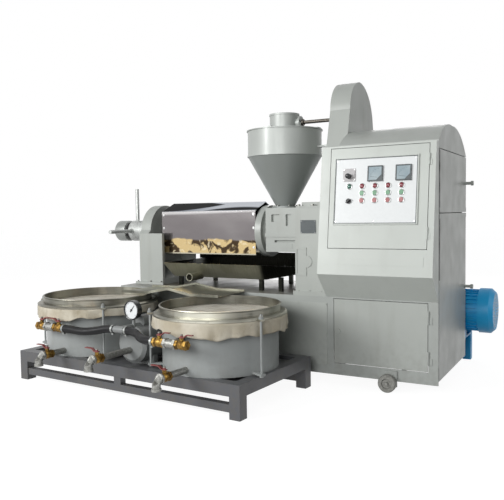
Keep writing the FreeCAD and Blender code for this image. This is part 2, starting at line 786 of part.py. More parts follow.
def make_motor():
    fan_length = 90.0
    body_right = motor_right - fan_length
    body = turned("x", [(0, motor_left + 8), (motor_radius - 26, motor_left + 8),
                        (motor_radius - 8, motor_left + 26),
                        (motor_radius - 8, body_right), (0, body_right)], motor_y, motor_z)
    fins = [body]
    for index in range(28):
        fin = block(motor_left + 40, body_right - 6, motor_y + motor_radius - 14, motor_y + motor_radius,
                    motor_z - 2, motor_z + 2)
        angle = index * 360 / 28
        fins.append(spin(fin, V(0, motor_y, motor_z), V(1, 0, 0), angle))
    nose = pipe("x", 44, motor_shaft + shaft_gap, motor_left - 10, motor_left + 8, motor_y, motor_z)
    cowl = turned("x", [(motor_radius - 8, body_right), (motor_radius + 8, body_right),
                        (motor_radius + 8, motor_right - 24), (motor_radius - 14, motor_right),
                        (0, motor_right), (0, body_right)], motor_y, motor_z)
    box = block(motor_left + 120, motor_left + 250, motor_y - 60, motor_y + 60, motor_z + motor_radius - 12,
                motor_z + motor_radius + 58)
    feet = [block(motor_left + 60, body_right - 70, y - 20, y + 20, motor_z - 156, motor_z - 70)
            for y in (motor_y - 90, motor_y + 90)]
    bench_top = motor_z - 156
    back = motor_y + rear_reach
    bench = [block(motor_left + 20, motor_left + 300, base_back, back, bench_top - 12, bench_top)]
    for x in (motor_left + 120, motor_left + 250):
        bench.append(block(x, x + 50, back - 50, back, 0, bench_top - 12))
        bench.append(block(x, x + 50, base_back, base_back + 40, 60, bench_top - 12))
    motor = fuse(fins + [nose, cowl, box] + feet)
    save("motor", group([motor, fuse(bench)]))


def make_hopper():
    r = hopper_radius
    w = hopper_wall
    outline = [(r, hopper_rim), (r, hopper_seam), (throat_radius + w, hopper_low + 12),
               (throat_radius + w, hopper_low), (throat_radius, hopper_low), (throat_radius, hopper_low + 12),
               (r - w, hopper_seam + 1), (r - w, hopper_rim)]
    shell = turned("z", outline, hopper_x, screw_y)
    bead = turned("z", [(r - w, hopper_rim - 6), (r + 7, hopper_rim - 6), (r + 7, hopper_rim),
                        (r - w, hopper_rim)], hopper_x, screw_y)
    seam = turned("z", [(r - 1, hopper_seam - 4), (r + 4, hopper_seam - 2), (r + 4, hopper_seam + 8),
                        (r - 1, hopper_seam + 8)], hopper_x, screw_y)
    flange = pipe("z", 84, throat_radius, hopper_low, hopper_low + 10, hopper_x, screw_y)
    stay = block(hopper_x + r - 2, guard_left, screw_y - 20, screw_y + 20, 1356, 1368)
    save("hopper", fuse([shell, bead, seam, flange, stay]))
    w = 5.0
    cross = block(hopper_x - 26, hopper_x + 26, screw_y - r - 4, screw_y + r + 4, hopper_rim, hopper_rim + w)
    can = pipe("z", feeder_radius, feeder_radius - w, hopper_rim + w, feeder_top, hopper_x, screw_y)
    lid = bar("z", feeder_radius, feeder_top - w, feeder_top, hopper_x, screw_y)
    lid = lid.fuse(pipe("z", feeder_radius + 3, feeder_radius, feeder_top - 12, feeder_top,
                        hopper_x, screw_y))
    floor = bar("z", feeder_radius, hopper_rim, hopper_rim + w, hopper_x, screw_y)
    boss_x = hopper_x + feeder_radius
    boss = bar("x", 30, boss_x - 8, boss_x + 14, screw_y, feeder_z)
    flange = bar("x", 40, boss_x + 14, boss_x + 24, screw_y, feeder_z)
    leg = block(boss_x + 10, boss_x + 30, screw_y - 26, screw_y + 26, hopper_rim, feeder_z)
    arm = block(boss_x - 20, hopper_x + r + 4, screw_y - 26, screw_y + 26, hopper_rim, hopper_rim + w)
    body = fuse([cross, can, lid, floor, boss, flange, leg, arm])
    body = body.cut(bar("x", feeder_shaft + shaft_gap, boss_x - 20, boss_x + 40, screw_y, feeder_z))
    body = body.cut(bar("z", auger_shaft + shaft_gap, hopper_rim - 1, hopper_rim + w + 1, hopper_x, screw_y))
    save("feeder_housing", body)
    apex = V(hopper_x, screw_y, feeder_z)
    top_gear = bevel(0)
    top_gear.translate(apex)
    low = hopper_low - 70
    shaft = bar("z", auger_shaft, low, feeder_z - bevel_radius - 2, hopper_x, screw_y)
    flight = helix_flight(auger_shaft, auger_radius, 50, 2.0, 6, low)
    flight.translate(V(hopper_x, screw_y, 0))
    parts = [shaft, flight, top_gear]
    for angle, z, reach in ((0, 1080, 70), (120, 1150, 105), (240, 1220, 140)):
        arm = bar("x", 6, hopper_x, hopper_x + reach, screw_y, z)
        parts.append(spin(arm, V(hopper_x, screw_y, 0), V(0, 0, 1), angle))
    save("feed_auger", fuse(parts))
    side_gear = bevel(180 / bevel_teeth)
    side_gear.rotate(V(0, 0, 0), V(0, 1, 0), -90)
    side_gear.translate(apex)
    line = bar("x", feeder_shaft, hopper_x + bevel_radius + 2, guard_right - 4, screw_y, feeder_z)
    pulley = grooved_pulley(feeder_pulley, [feeder_belt_x], screw_y, feeder_z, feeder_shaft - 1, 30)
    collar = pipe("x", 20, feeder_shaft - 1, boss_x + 30 + rest_gap, boss_x + 42, screw_y, feeder_z)
    save("feeder_shaft", fuse([side_gear, line, pulley, collar]))


def make_feed_block():
    body = block(block_left, gearbox_left - 8, screw_y - block_half, screw_y + block_half,
                 block_low, hopper_low)
    front = screw_y - block_half
    recesses = [block(block_left + 40, block_left + 96, front - 1, front + 14, 905, 950),
                block(block_left + 138, block_left + 176, front - 1, front + 14, 880, 950),
                block(block_left + 60, block_left + 200, front - 1, front + 20, 778, 792)]
    rib = block(block_left - 4, gearbox_left - 8, front - 6, front, 812, 836)
    label = block(block_left + 110, block_left + 180, front - 2, front, 740, 770)
    ring = bar("x", ring_radius, cage_right - 8, block_left - 30, screw_y, screw_z)
    neck = bar("x", ring_radius - 36, block_left - 30, block_left, screw_y, screw_z)
    casting = fuse([cut(body, recesses), rib, label, ring, neck])
    casting = casting.cut(bar("x", cage_bore, cage_right - 20, block_left + 215, screw_y, screw_z))
    casting = casting.cut(bar("x", screw_core + 4, block_left, gearbox_left + 20, screw_y, screw_z))
    casting = casting.cut(bar("z", throat_radius - 6, screw_z, hopper_low + 1, hopper_x, screw_y))
    save("feed_block", casting)


def make_cage():
    solids = []
    step = 360.0 / cage_bars
    outer = cage_bore + cage_bar_depth
    half_in = cage_bore * math.tan(math.radians(step / 2)) - 0.4
    half_out = outer * math.tan(math.radians(step / 2)) - 0.4
    outline = [(screw_y - half_in, screw_z + cage_bore), (screw_y + half_in, screw_z + cage_bore),
               (screw_y + half_out, screw_z + outer), (screw_y - half_out, screw_z + outer)]
    stave = plate("x", outline, cage_left, cage_right - 8)
    for index in range(cage_bars):
        solids.append(spin(stave, V(0, screw_y, screw_z), V(1, 0, 0), (index + 0.5) * step))
    seat = outer / math.cos(math.radians(step / 2)) + 0.1
    frames = []
    for index in range(cage_ribs):
        x = cage_left + index * rib_step
        rib = bar("x", rib_radius, x, x + rib_width, screw_y, screw_z)
        ears = block(x, x + rib_width, screw_y - ear_reach, screw_y + ear_reach, screw_z - 22, screw_z + 22)
        frames.append(rib.fuse(ears).cut(bar("x", seat, x - 1, x + rib_width + 1, screw_y, screw_z)))
    for side in (-1, 1):
        y = screw_y + side * 118
        frames.append(block(cage_left, cage_right - 8, y - 12, y + 12, screw_z - 18, screw_z - 1))
        frames.append(block(cage_left, cage_right - 8, y - 12, y + 12, screw_z + 1, screw_z + 18))
    body = fuse(frames)
    reach = ear_reach + 6
    split = block(cage_left - 1, cage_right, screw_y - reach, screw_y + reach, screw_z - 1, screw_z + 1)
    solids += body.cut(split).Solids
    save("press_cage", group(solids))


def make_hood():
    t = hood_sheet
    y0 = screw_y - hood_half
    y1 = screw_y + hood_half
    outline = [(y0, hood_low), (y0, hood_bend), (screw_y, hood_ridge), (y1, hood_bend), (y1, hood_low),
               (y1 - t, hood_low), (y1 - t, hood_bend - t), (screw_y, hood_ridge - t),
               (y0 + t, hood_bend - t), (y0 + t, hood_low)]
    skin = plate("x", outline, hood_left, hood_right)
    hems = [block(hood_left, hood_right, y0, y0 + 14, hood_low - 3, hood_low),
            block(hood_left, hood_right, y1 - 14, y1, hood_low - 3, hood_low)]
    gable = plate("x", [(y0 + t, hood_bend - t), (screw_y, hood_ridge - t), (y1 - t, hood_bend - t)],
                  hood_left, hood_left + t)
    bearers = []
    seat = screw_z + rib_radius + rest_gap
    for index in (1, 4):
        x = cage_left + index * rib_step + 10
        bearers.append(plate("x", [(y0 + t, seat), (screw_y, hood_ridge - t), (y1 - t, seat)], x, x + 5))
    save("cage_hood", fuse([skin, gable] + hems + bearers))


def make_end_frame():
    y0 = screw_y - end_half
    y1 = screw_y + end_half
    cheek = plate("y", [(end_left, base_top), (end_right, base_top), (end_right, end_shoulder),
                        (end_left, end_shoulder)], y0, y0 + 24)
    far = plate("y", [(end_left, base_top), (end_right, base_top), (end_right, end_shoulder),
                      (end_left, end_shoulder)], y1 - 24, y1)
    wall = plate("x", [(y0, base_top), (y1, base_top), (y1, end_shoulder), (y1 - 44, end_shoulder + 44),
                       (y0 + 44, end_shoulder + 44), (y0, end_shoulder)], end_left, arch_right)
    arch = bar("x", arch_radius, end_left, arch_right, screw_y, screw_z)
    chute = plate("y", [(arch_right, base_top), (end_right, base_top), (end_right, base_top + 40),
                        (arch_right, base_top + 150)], y0 + 24, y1 - 24)
    foot = block(end_left - 30, end_right + 10, y0 - 14, y0, base_top, base_top + 16)
    back_foot = block(end_left - 30, end_right + 10, y1, y1 + 14, base_top, base_top + 16)
    frame = fuse([cheek, far, wall, arch, chute, foot, back_foot])
    frame = frame.cut(bar("x", hub_neck + 0.5, end_left - 1, arch_right + 1, screw_y, screw_z))
    save("end_frame", frame)


def tommy_bar(axis, centre, way, u, v):
    """Round bar on the hub, with a tapered weld round its root."""
    root = centre + way * (hub_radius - 6)
    crown = centre + way * hub_radius
    weld_end = centre + way * (hub_radius + tommy_weld)
    tip = centre + way * tommy_reach
    thick = tommy_radius + 5
    return turned(axis, [(0, root), (thick, root), (thick, crown), (tommy_radius, weld_end),
                         (tommy_radius, tip), (0, tip)], u, v)


def make_adjuster():
    neck_end = arch_right - 6
    hub = turned("x", [(screw_shaft + 4, hub_left + 60), (0, hub_left + 60), (0, hub_left),
                       (hub_radius - 10, hub_left),
                       (hub_radius, hub_left + 12), (hub_radius, hub_left + 96), (hub_neck, hub_left + 100),
                       (hub_neck, hub_left + 130), (hub_radius, hub_left + 134), (hub_radius, end_left - 60),
                       (hub_radius + 12, end_left - 60), (hub_radius + 12, end_left - 2),
                       (hub_neck, end_left - 2), (hub_neck, neck_end), (screw_shaft + 16, neck_end),
                       (screw_shaft + 16, hub_left + 60)], screw_y, screw_z)
    x = hub_left + 165
    up = tommy_bar("z", screw_z, 1, x, screw_y)
    front = tommy_bar("y", screw_y, -1, x, screw_z)
    save("adjuster_hub", fuse([hub, up, front]))
    sleeve = turned("x", [(screw_shaft + shaft_gap, hub_left + 66), (screw_shaft + 15.9, hub_left + 66),
                          (screw_shaft + 15.9, arch_right + 8), (60, arch_right + 8), (60, arch_right + 22),
                          (48, arch_right + 52), (screw_shaft + shaft_gap, arch_right + 52)],
                    screw_y, screw_z)
    save("choke_sleeve", sleeve)


def make_oil_pan():
    t = 3.0
    flare = 60.0
    floor = [(pan_left + flare, pan_front + 40), (pan_right, pan_front + 40),
             (pan_right, pan_back - 40), (pan_left + flare, pan_back - 40)]
    top = [(pan_left, pan_front), (pan_right, pan_front), (pan_right, pan_back), (pan_left, pan_back)]

    def tray(grow, low, high):
        a = [V(x + (grow if x < 0 else -grow), y + (grow if y < screw_y else -grow), low) for x, y in floor]
        b = [V(x + (grow if x < 0 else -grow), y + (grow if y < screw_y else -grow), high) for x, y in top]
        return Part.makeLoft([Part.makePolygon(a + [a[0]]), Part.makePolygon(b + [b[0]])], True, True)

    def chute(grow, low, high, start, stop):
        """The run under the feed block, whose floor rises to its end."""
        sections = []
        for x, lift in ((start, 0), (stop, chute_rise)):
            spots = [(pan_front + 40 + grow, low + lift), (pan_back - 40 - grow, low + lift),
                     (pan_back - grow, high), (pan_front + grow, high)]
            points = [V(x, y, z) for y, z in spots]
            sections.append(Part.makePolygon(points + [points[0]]))
        return Part.makeLoft(sections, True, True)

    shell = tray(0, pan_floor, pan_rim).cut(tray(t, pan_floor + t, pan_rim + 1))
    run = chute(0, pan_floor, pan_rim, pan_right, chute_right)
    run = run.cut(chute(t, pan_floor + t, pan_rim + 1, pan_right - 1, chute_right - t))
    doorway = plate("x", [(pan_front + 40 + t, pan_floor + t), (pan_back - 40 - t, pan_floor + t),
                          (pan_back - t, pan_rim + 1), (pan_front + t, pan_rim + 1)], pan_right - t - 1, pan_right + 1)
    splash = block(end_right + splash_gap, chute_right, pan_back - t, pan_back, pan_rim - 8, splash_top)
    fold = block(end_right + splash_gap, chute_right, pan_back - t - 9, pan_back, splash_top - t, splash_top)
    spout = bar("y", spout_radius, pan_front - 70, pan_front + 60, spout_x, pan_floor + 8)
    spout = spout.cut(tray(0, pan_floor, pan_rim))
    bore = bar("y", spout_radius - 4, pan_front - 80, pan_front + 66, spout_x, pan_floor + 8)
    pan = fuse([shell.cut(doorway), run, splash, fold, spout]).cut(bore)
    stand = []
    middle = (chute_right + pan_right) / 2
    for x, lift in ((pan_left + flare + 20, 0), (pan_right - 60, 0), (middle - 30, 0.35 * chute_rise)):
        for y in (pan_front + 60, pan_back - 90):
            stand.append(block(x, x + 24, y, y + 24, base_top, pan_floor + lift))
    save("oil_pan", group([pan] + stand))


def make_divider():
    t = 3.0
    low = pan_wall_top + rest_gap
    places = [-divider_half, -divider_flat, 0, divider_flat, divider_half]
    heights = [0, 0, divider_rise, 0, 0]
    top = [(divider_x + x, low + t + z) for x, z in zip(places, heights)]
    under = [(divider_x + x, low + z) for x, z in zip(places, heights)]
    saddle = plate("y", top + under[::-1], divider_front, divider_back)
    lip = [(x, z + 12) for x, z in top]
    rims = [plate("y", lip + under[::-1], y, y + t) for y in (divider_front, divider_back - t)]
    save("oil_divider", fuse([saddle] + rims))


def station(shape):
    placed = shape.copy()
    placed.rotate(V(0, 0, 0), V(0, 0, 1), station_turn)
    placed.translate(station_corner)
    return placed


def make_station():
    w = station_tube
    x0 = -station_length
    top = station_top
    rails = [block(x0, 0, 0, w, top - w, top), block(x0, 0, station_depth - w, station_depth, top - w, top),
             block(x0, x0 + w, 0, station_depth, top - w, top), block(-w, 0, 0, station_depth, top - w, top)]
    for x in (x0, -w):
        for y in (0, station_depth - w):
            rails.append(block(x, x + w, y, y + w, 0, top))
    rails.append(block(x0, 0, 6, 44, 31, 69))
    rails.append(block(x0, 0, station_depth - 44, station_depth - 6, 31, 69))
    middle = -station_length / 2
    for y in (6, station_depth - 44):
        rails.append(block(middle - 24, middle + 24, y, y + 38, 69, top - w))
    rails.append(block(x0 + w, -w, w, station_depth - w, deck_z - 4, deck_z))
    save("station_frame", station(fuse(rails)))
    drums = []
    pans = []
    for index, (x, y) in enumerate(drum_places):
        wall = pipe("z", drum_radius, drum_radius - drum_wall, station_top, drum_rim, x, y)
        floor = bar("z", drum_radius, station_top, station_top + drum_wall, x, y)
        flange = pipe("z", lip_radius - 4, drum_radius - 1, drum_rim - 8, drum_rim, x, y)
        ledge = pipe("z", drum_radius - 1, drum_radius - 16, drum_rim - 22, drum_rim - 14, x, y)
        parts = [wall, floor, flange, ledge]
        for angle in rod_angles[index]:
            foot = block(x + drum_radius - 1, x + rod_circle + 14, y - 13, y + 13,
                         station_top + 8, station_top + 18)
            foot = foot.cut(bar("z", 6 + shaft_gap, station_top, station_top + 30, x + rod_circle, y))
            parts.append(spin(foot, V(x, y, 0), V(0, 0, 1), angle))
        drum = fuse(parts)
        sieve = bar("z", drum_radius - drum_wall - 1, drum_rim - 14, drum_rim - 2, x, y)
        lip = turned("z", [(pan_wall_radius - 4, drum_rim + 2.5), (lip_radius, drum_rim + 2.5),
                           (lip_radius, drum_rim + 9), (lip_radius - 10, drum_rim + 15),
                           (pan_wall_radius + 1, drum_rim + 15), (pan_wall_radius + 1, pan_wall_top - 8),
                           (pan_wall_radius + 6, pan_wall_top - 4), (pan_wall_radius + 4, pan_wall_top),
                           (pan_wall_radius - 3, pan_wall_top), (pan_wall_radius - 3, drum_rim + 12),
                           (pan_wall_radius - 4, drum_rim + 12)], x, y)
        lugs = [lip]
        rods = []
        for angle in rod_angles[index]:
            out = block(x + lip_radius - 8, x + rod_circle + 14, y - 13, y + 13, drum_rim + 3, drum_rim + 12)
            out = out.cut(bar("z", 6.5, drum_rim, drum_rim + 20, x + rod_circle, y))
            lugs.append(spin(out, V(x, y, 0), V(0, 0, 1), angle))
            stem = bar("z", 6, station_top + 1, drum_rim + 34, x + rod_circle, y)
            nut = bar("z", 12, drum_rim + 12, drum_rim + 22, x + rod_circle, y)
            head = bar("z", 11, station_top + 1, station_top + 8, x + rod_circle, y)
            rods.append(spin(fuse([stem, nut, head]), V(x, y, 0), V(0, 0, 1), angle))
        drums += [drum, sieve] + rods
        pans.append(fuse(lugs))
        cover = bar("z", lip_radius - 3, drum_rim, drum_rim + 2.5, x, y)
        skirt = pipe("z", lip_radius + 1, lip_radius - 3, cloth_low, drum_rim + 2.5, x, y)
        name = "filter_cloth_left" if index == 0 else "filter_cloth_right"
        save(name, station(cover.fuse(skirt)))
    save("filter_drums", station(group(drums)))
    save("filter_pans", station(group(pans)))


def hexagon(axis, radius, start, stop, u, v):
    """Hexagonal bar; radius is from its middle to a corner."""
    outline = []
    for step in range(6):
        angle = math.radians(step * 60 + 30)
        outline.append((u + radius * math.cos(angle), v + radius * math.sin(angle)))
    return plate(axis, outline, start, stop)


def ball_valve(axis, start, u, v):
    """Brass body with hexagon ends and a stem boss on top."""
    body = bar(axis, valve_radius - 1, start + 13, start + valve_length - 13, u, v)
    ends = [hexagon(axis, valve_radius + 2, start, start + 14, u, v),
            hexagon(axis, valve_radius + 2, start + valve_length - 14, start + valve_length, u, v)]
    centre = at(axis, start + valve_length / 2, u, v)
    boss = Part.makeCylinder(10, valve_radius + 12, centre, V(0, 0, 1))
    return fuse([body, boss] + ends), centre


def lever(centre, heading, reach):
    """Flat handle with a raised root, on the stem above a valve; heading in degrees."""
    base = centre.z + valve_radius + 12 + rest_gap
    side = plate("y", [(centre.x - 12, base), (centre.x + 14, base), (centre.x + 34, base + 14),
                       (centre.x + reach, base + 14), (centre.x + reach, base + 18),
                       (centre.x + 32, base + 18),
                       (centre.x + 12, base + 4), (centre.x - 12, base + 4)], centre.y - 8, centre.y + 8)
    nut = bar("z", 7, base + 2, base + 12, centre.x, centre.y)
    return spin(side.fuse(nut), centre, V(0, 0, 1), heading)


def elbow(x, y, z, drop):
    """Pipe elbow that turns a run along -Y downwards and ends in an open mouth."""
    body = bar("y", pipe_radius + 3, y - 8, y + 10, x, z)
    collar = hexagon("y", pipe_radius + 7, y + 10, y + 26, x, z)
    down = bar("z", pipe_radius + 3, z - drop, z + 8, x, y)
    mouth = bar("z", pipe_radius + 6, z - drop, z - drop + 16, x, y)
    hollow = bar("z", pipe_radius - 3, z - drop - 1, z, x, y)
    return fuse([body, collar, down, mouth]).cut(hollow)


def make_valves():
    solids = []
    levers = {}
    chain = [("left", drum_places[0][0], -37.0, 24.0, 342.0),
             ("right", drum_places[1][0] - 4, -86.0, 9.0, 346.0)]
    for side, x, y, wall_y, z in chain:
        tee = fuse([bar("x", pipe_radius + 5, x - 36, x + 36, y, z),
                    bar("y", pipe_radius, y, wall_y + 20, x, z),
                    hexagon("x", pipe_radius + 9, x - 36, x - 24, y, z),
                    hexagon("x", pipe_radius + 9, x + 24, x + 36, y, z)])
        drum_x, drum_y = drum_places[0 if side == "left" else 1]
        solids.append(tee.cut(bar("z", drum_radius, z - 60, z + 60, drum_x, drum_y)))
        for way, start in (("a", x - 36 - valve_length), ("b", x + 36)):
            valve, centre = ball_valve("x", start, y, z)
            solids.append(valve)
            heading = 180.0 if side + way == "leftb" else 0.0
            levers["lever_" + side + "_" + way] = lever(centre, heading, chain_lever)
    drains = [("drain_left", -1215.0, drum_places[0], -150.0, 200.0),
              ("drain_tank", tank_x - 8, None, -214.0, 240.0),
              ("drain_right", -322.0, drum_places[1], -206.0, 200.0)]
    for name, x, drum, tip, z in drains:
        pipe_run = bar("y", pipe_radius, tip + 26 + valve_length, tank_front if drum is None else 60.0, x, z)
        if drum is not None:
            pipe_run = pipe_run.cut(bar("z", drum_radius, z - 60, z + 60, *drum))
        valve, centre = ball_valve("y", tip + 26, x, z)
        solids += [pipe_run, valve, elbow(x, tip, z, 52)]
        levers["lever_" + name] = lever(centre, 180.0, drain_lever)
    save("valve_bodies", station(group(solids)))
    for name, shape in levers.items():
        save(name, station(shape))


def make_tank():
    front = tank_front
    back = tank_back
    tank = turned("y", [(0, front), (tank_radius - 18, front), (tank_radius, front + 14),
                        (tank_radius, back - 14),
                        (tank_radius - 18, back), (0, back)], tank_x, tank_z)
    saddles = []
    for y in (front + 90, back - 120):
        saddles.append(block(tank_x - 80, tank_x + 80, y, y + 30, deck_z, tank_z - 40))
    header = bar("y", header_radius, front + 70, 420, tank_x, header_z)
    nipple = bar("y", pipe_radius, manifold_y, front + 80, tank_x, manifold_z)
    stubs = [bar("x", pipe_radius + 2, tank_x - manifold_half, tank_x + manifold_half,
                 manifold_y, manifold_z)]
    gauge_z = 455.0
    stem = bar("z", 9, manifold_z, gauge_z - 40, tank_x + 8, front + 17)
    dial = turned("y", [(0, front + 2), (46, front + 2), (46, front - 2), (50, front - 4), (50, front + 30),
                        (0, front + 30)], tank_x + 8, gauge_z)
    body = fuse([tank, header, nipple] + saddles + stubs + [stem, dial])
    body = body.cut(bar("y", 2.05, front - 2, front + 12, tank_x + 8, gauge_z))
    save("vacuum_tank", station(body))
    x = tank_x + 8
    needle = plate("y", [(x - 4, gauge_z - 12), (x + 4, gauge_z - 12), (x + 1, gauge_z + 34),
                         (x - 1, gauge_z + 34)],
                   front - 0.5, front + 0.8)
    needle = needle.fuse(bar("y", 6, front - 1, front + 1, x, gauge_z))
    needle = needle.fuse(bar("y", 2, front, front + 10, x, gauge_z))
    needle = spin(needle, V(x, 0, gauge_z), V(0, 1, 0), 40)
    save("gauge_needle", station(needle))


def route_wire(points):
    """Straight runs joined by tangent arcs as large as the runs allow."""
    edges = []
    last = points[0]
    for index in range(1, len(points) - 1):
        corner = points[index]
        a = points[index - 1] - corner
        b = points[index + 1] - corner
        cosine = a.normalize().dot(b.normalize())
        turn = math.pi - math.acos(max(-1.0, min(1.0, cosine)))
        shorter = min((points[index - 1] - corner).Length, (points[index + 1] - corner).Length)
        back_off = 0.49 * shorter
        radius = back_off / math.tan(turn / 2)
        start = corner + a * back_off
        stop = corner + b * back_off
        bisector = (a + b).normalize()
        middle = corner + bisector * (radius / math.cos(turn / 2) - radius)
        edges.append(Part.LineSegment(last, start).toShape())
        edges.append(Part.Arc(start, middle, stop).toShape())
        last = stop
    edges.append(Part.LineSegment(last, points[-1]).toShape())
    return Part.Wire(edges)


def make_hoses():
    left_x = drum_places[0][0] + 36 + valve_length
    right_x = drum_places[1][0] - 4 - 36 - valve_length
    header_left = tank_x - manifold_half
    header_right = tank_x + manifold_half
    routes = {
        "hose_left": [V(left_x, -37, 342), V(left_x + 66, -37, 342), V(left_x + 142, -30, 334),
                      V(left_x + 222, -14, 343), V(header_left - 50, 0, 363), V(header_left, 0, 363)],
        "hose_right": [V(header_right, 0, 363), V(header_right + 50, 0, 363), V(header_right + 110, -22, 355),
                       V(right_x - 110, -64, 348), V(right_x - 50, -86, 346), V(right_x, -86, 346)],
    }
    for name, points in routes.items():
        path = route_wire(points)
        heading = (points[1] - points[0]).normalize()
        ring = Part.Wire(Part.makeCircle(hose_radius, points[0], heading))
        tube = path.makePipeShell([ring], True, False)
        save(name, station(tube))


make_base()
make_wheels()
make_cabinet()
make_guards()
make_electric_box()
make_panel()
first_gear, second_gear, web_place = make_gearbox()
make_screw(first_gear, web_place)
make_input(second_gear)
make_motor()
make_hopper()
make_feed_block()
make_cage()
make_hood()
make_end_frame()
make_adjuster()
make_oil_pan()
make_divider()
make_station()
make_valves()
make_tank()
make_hoses()
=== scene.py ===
import math
import random

import bmesh
import bpy
from mathutils import Matrix, Vector


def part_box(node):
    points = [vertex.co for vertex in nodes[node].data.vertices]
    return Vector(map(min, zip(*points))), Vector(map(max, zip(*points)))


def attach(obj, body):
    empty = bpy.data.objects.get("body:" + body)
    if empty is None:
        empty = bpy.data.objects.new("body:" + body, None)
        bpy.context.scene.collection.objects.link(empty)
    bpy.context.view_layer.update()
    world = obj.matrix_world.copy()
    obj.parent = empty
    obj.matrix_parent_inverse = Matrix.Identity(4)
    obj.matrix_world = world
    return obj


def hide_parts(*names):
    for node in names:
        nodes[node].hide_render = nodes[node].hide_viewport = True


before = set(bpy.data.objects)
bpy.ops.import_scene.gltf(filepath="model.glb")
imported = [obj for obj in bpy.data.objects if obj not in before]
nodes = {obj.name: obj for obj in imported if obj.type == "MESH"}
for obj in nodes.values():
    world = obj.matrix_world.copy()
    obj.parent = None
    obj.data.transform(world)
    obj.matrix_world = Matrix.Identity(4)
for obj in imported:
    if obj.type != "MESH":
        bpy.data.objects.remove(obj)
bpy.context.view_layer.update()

# Sizes are in metres. The filter station and the sloping panel have places of their own,
# so their pieces are given in local sizes and carried over by these two matrices.
station_turn = math.radians(-3.8)
station_place = Matrix.Translation((0.403, -0.790, 0.0)) @ Matrix.Rotation(station_turn, 4, "Z")
face_lean = math.atan2(88.0, 683.0)
panel_place = Matrix.Translation((0.0, -0.120, 0.627)) @ Matrix.Rotation(-face_lean, 4, "X")
drum_centres = [Vector((-1.249, 0.330, 0.0)), Vector((-0.330, 0.315, 0.0))]
screw_line = Vector((0.0, 0.360, 0.845))
hopper_line = Vector((0.084, 0.360, 0.0))
hub_end = -1.2725
deck_top = 0.489
pipe_radius = 0.0170
hose_radius = 0.021
valve_length = 0.066
lever_stem_top = 0.0463
full_turn = 2 * math.pi
unturned = Matrix.Identity(4)
to_front = (0, -1, 0)
to_back = (0, 1, 0)
to_right = (1, 0, 0)
to_left = (-1, 0, 0)
upwards = (0, 0, 1)
downwards = (0, 0, -1)


def tint(red, green, blue):
    """Screen colour from 0 to 255, as the linear colour that a shader takes."""
    channels = []
    for value in (red, green, blue):
        share = value / 255
        channels.append(share / 12.92 if share <= 0.04045 else ((share + 0.055) / 1.055) ** 2.4)
    return (*channels, 1.0)


def add_object(name, data):
    """Object of some data, shown in the scene."""
    made = bpy.data.objects.new(name, data)
    bpy.context.scene.collection.objects.link(made)
    return made


# Camera
def place_camera():
    """Camera at the photograph's place, with its three axes."""
    data = bpy.data.cameras.new("camera")
    data.sensor_width = 36.0
    data.lens = 45.68
    data.clip_end = 60.0
    camera = add_object("camera", data)
    right = Vector((0.8729, 0.4877, -0.0148))
    up = Vector((-0.0150, 0.0572, 0.9983))
    back = right.cross(up).normalized()
    turn = Matrix((right, up, back)).transposed().to_4x4()
    camera.matrix_world = Matrix.Translation((1.878, -3.287, 0.959)) @ turn
    bpy.context.scene.camera = camera


place_camera()


# Hoses: the control points of their routes are those of the solids
def hose_route(name):
    """Points of a hose in the station's own place, from left to right."""
    left_start = drum_centres[0].x + 0.102
    right_end = drum_centres[1].x - 0.106
    header = -0.750
    if name == "hose_left":
        return [(left_start, -0.037, 0.342), (left_start + 0.066, -0.037, 0.342),
                (left_start + 0.142, -0.030, 0.334), (left_start + 0.222, -0.014, 0.343),
                (header - 0.086, 0.0, 0.363), (header - 0.036, 0.0, 0.363)]
    return [(header + 0.036, 0.0, 0.363), (header + 0.086, 0.0, 0.363),
            (header + 0.146, -0.022, 0.355), (right_end - 0.110, -0.064, 0.348),
            (right_end - 0.050, -0.086, 0.346), (right_end, -0.086, 0.346)]


def lay_hose(name, finish):
    """Hose along its route, as a round curve."""
    data = bpy.data.curves.new(name + "_line", "CURVE")
    data.dimensions = "3D"
    data.bevel_depth = hose_radius
    data.bevel_resolution = 8
    data.resolution_u = 16
    data.use_fill_caps = True
    spline = data.splines.new("NURBS")
    points = [station_place @ Vector(point) for point in hose_route(name)]
    spline.points.add(len(points) - 1)
    for target, point in zip(spline.points, points):
        target.co = (*point, 1.0)
    spline.order_u = 3
    spline.use_endpoint_u = True
    hose = add_object(name + "_rubber", data)
    data.materials.append(finish)
    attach(hose, "press")
    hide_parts(name)
    tuple(points[0])


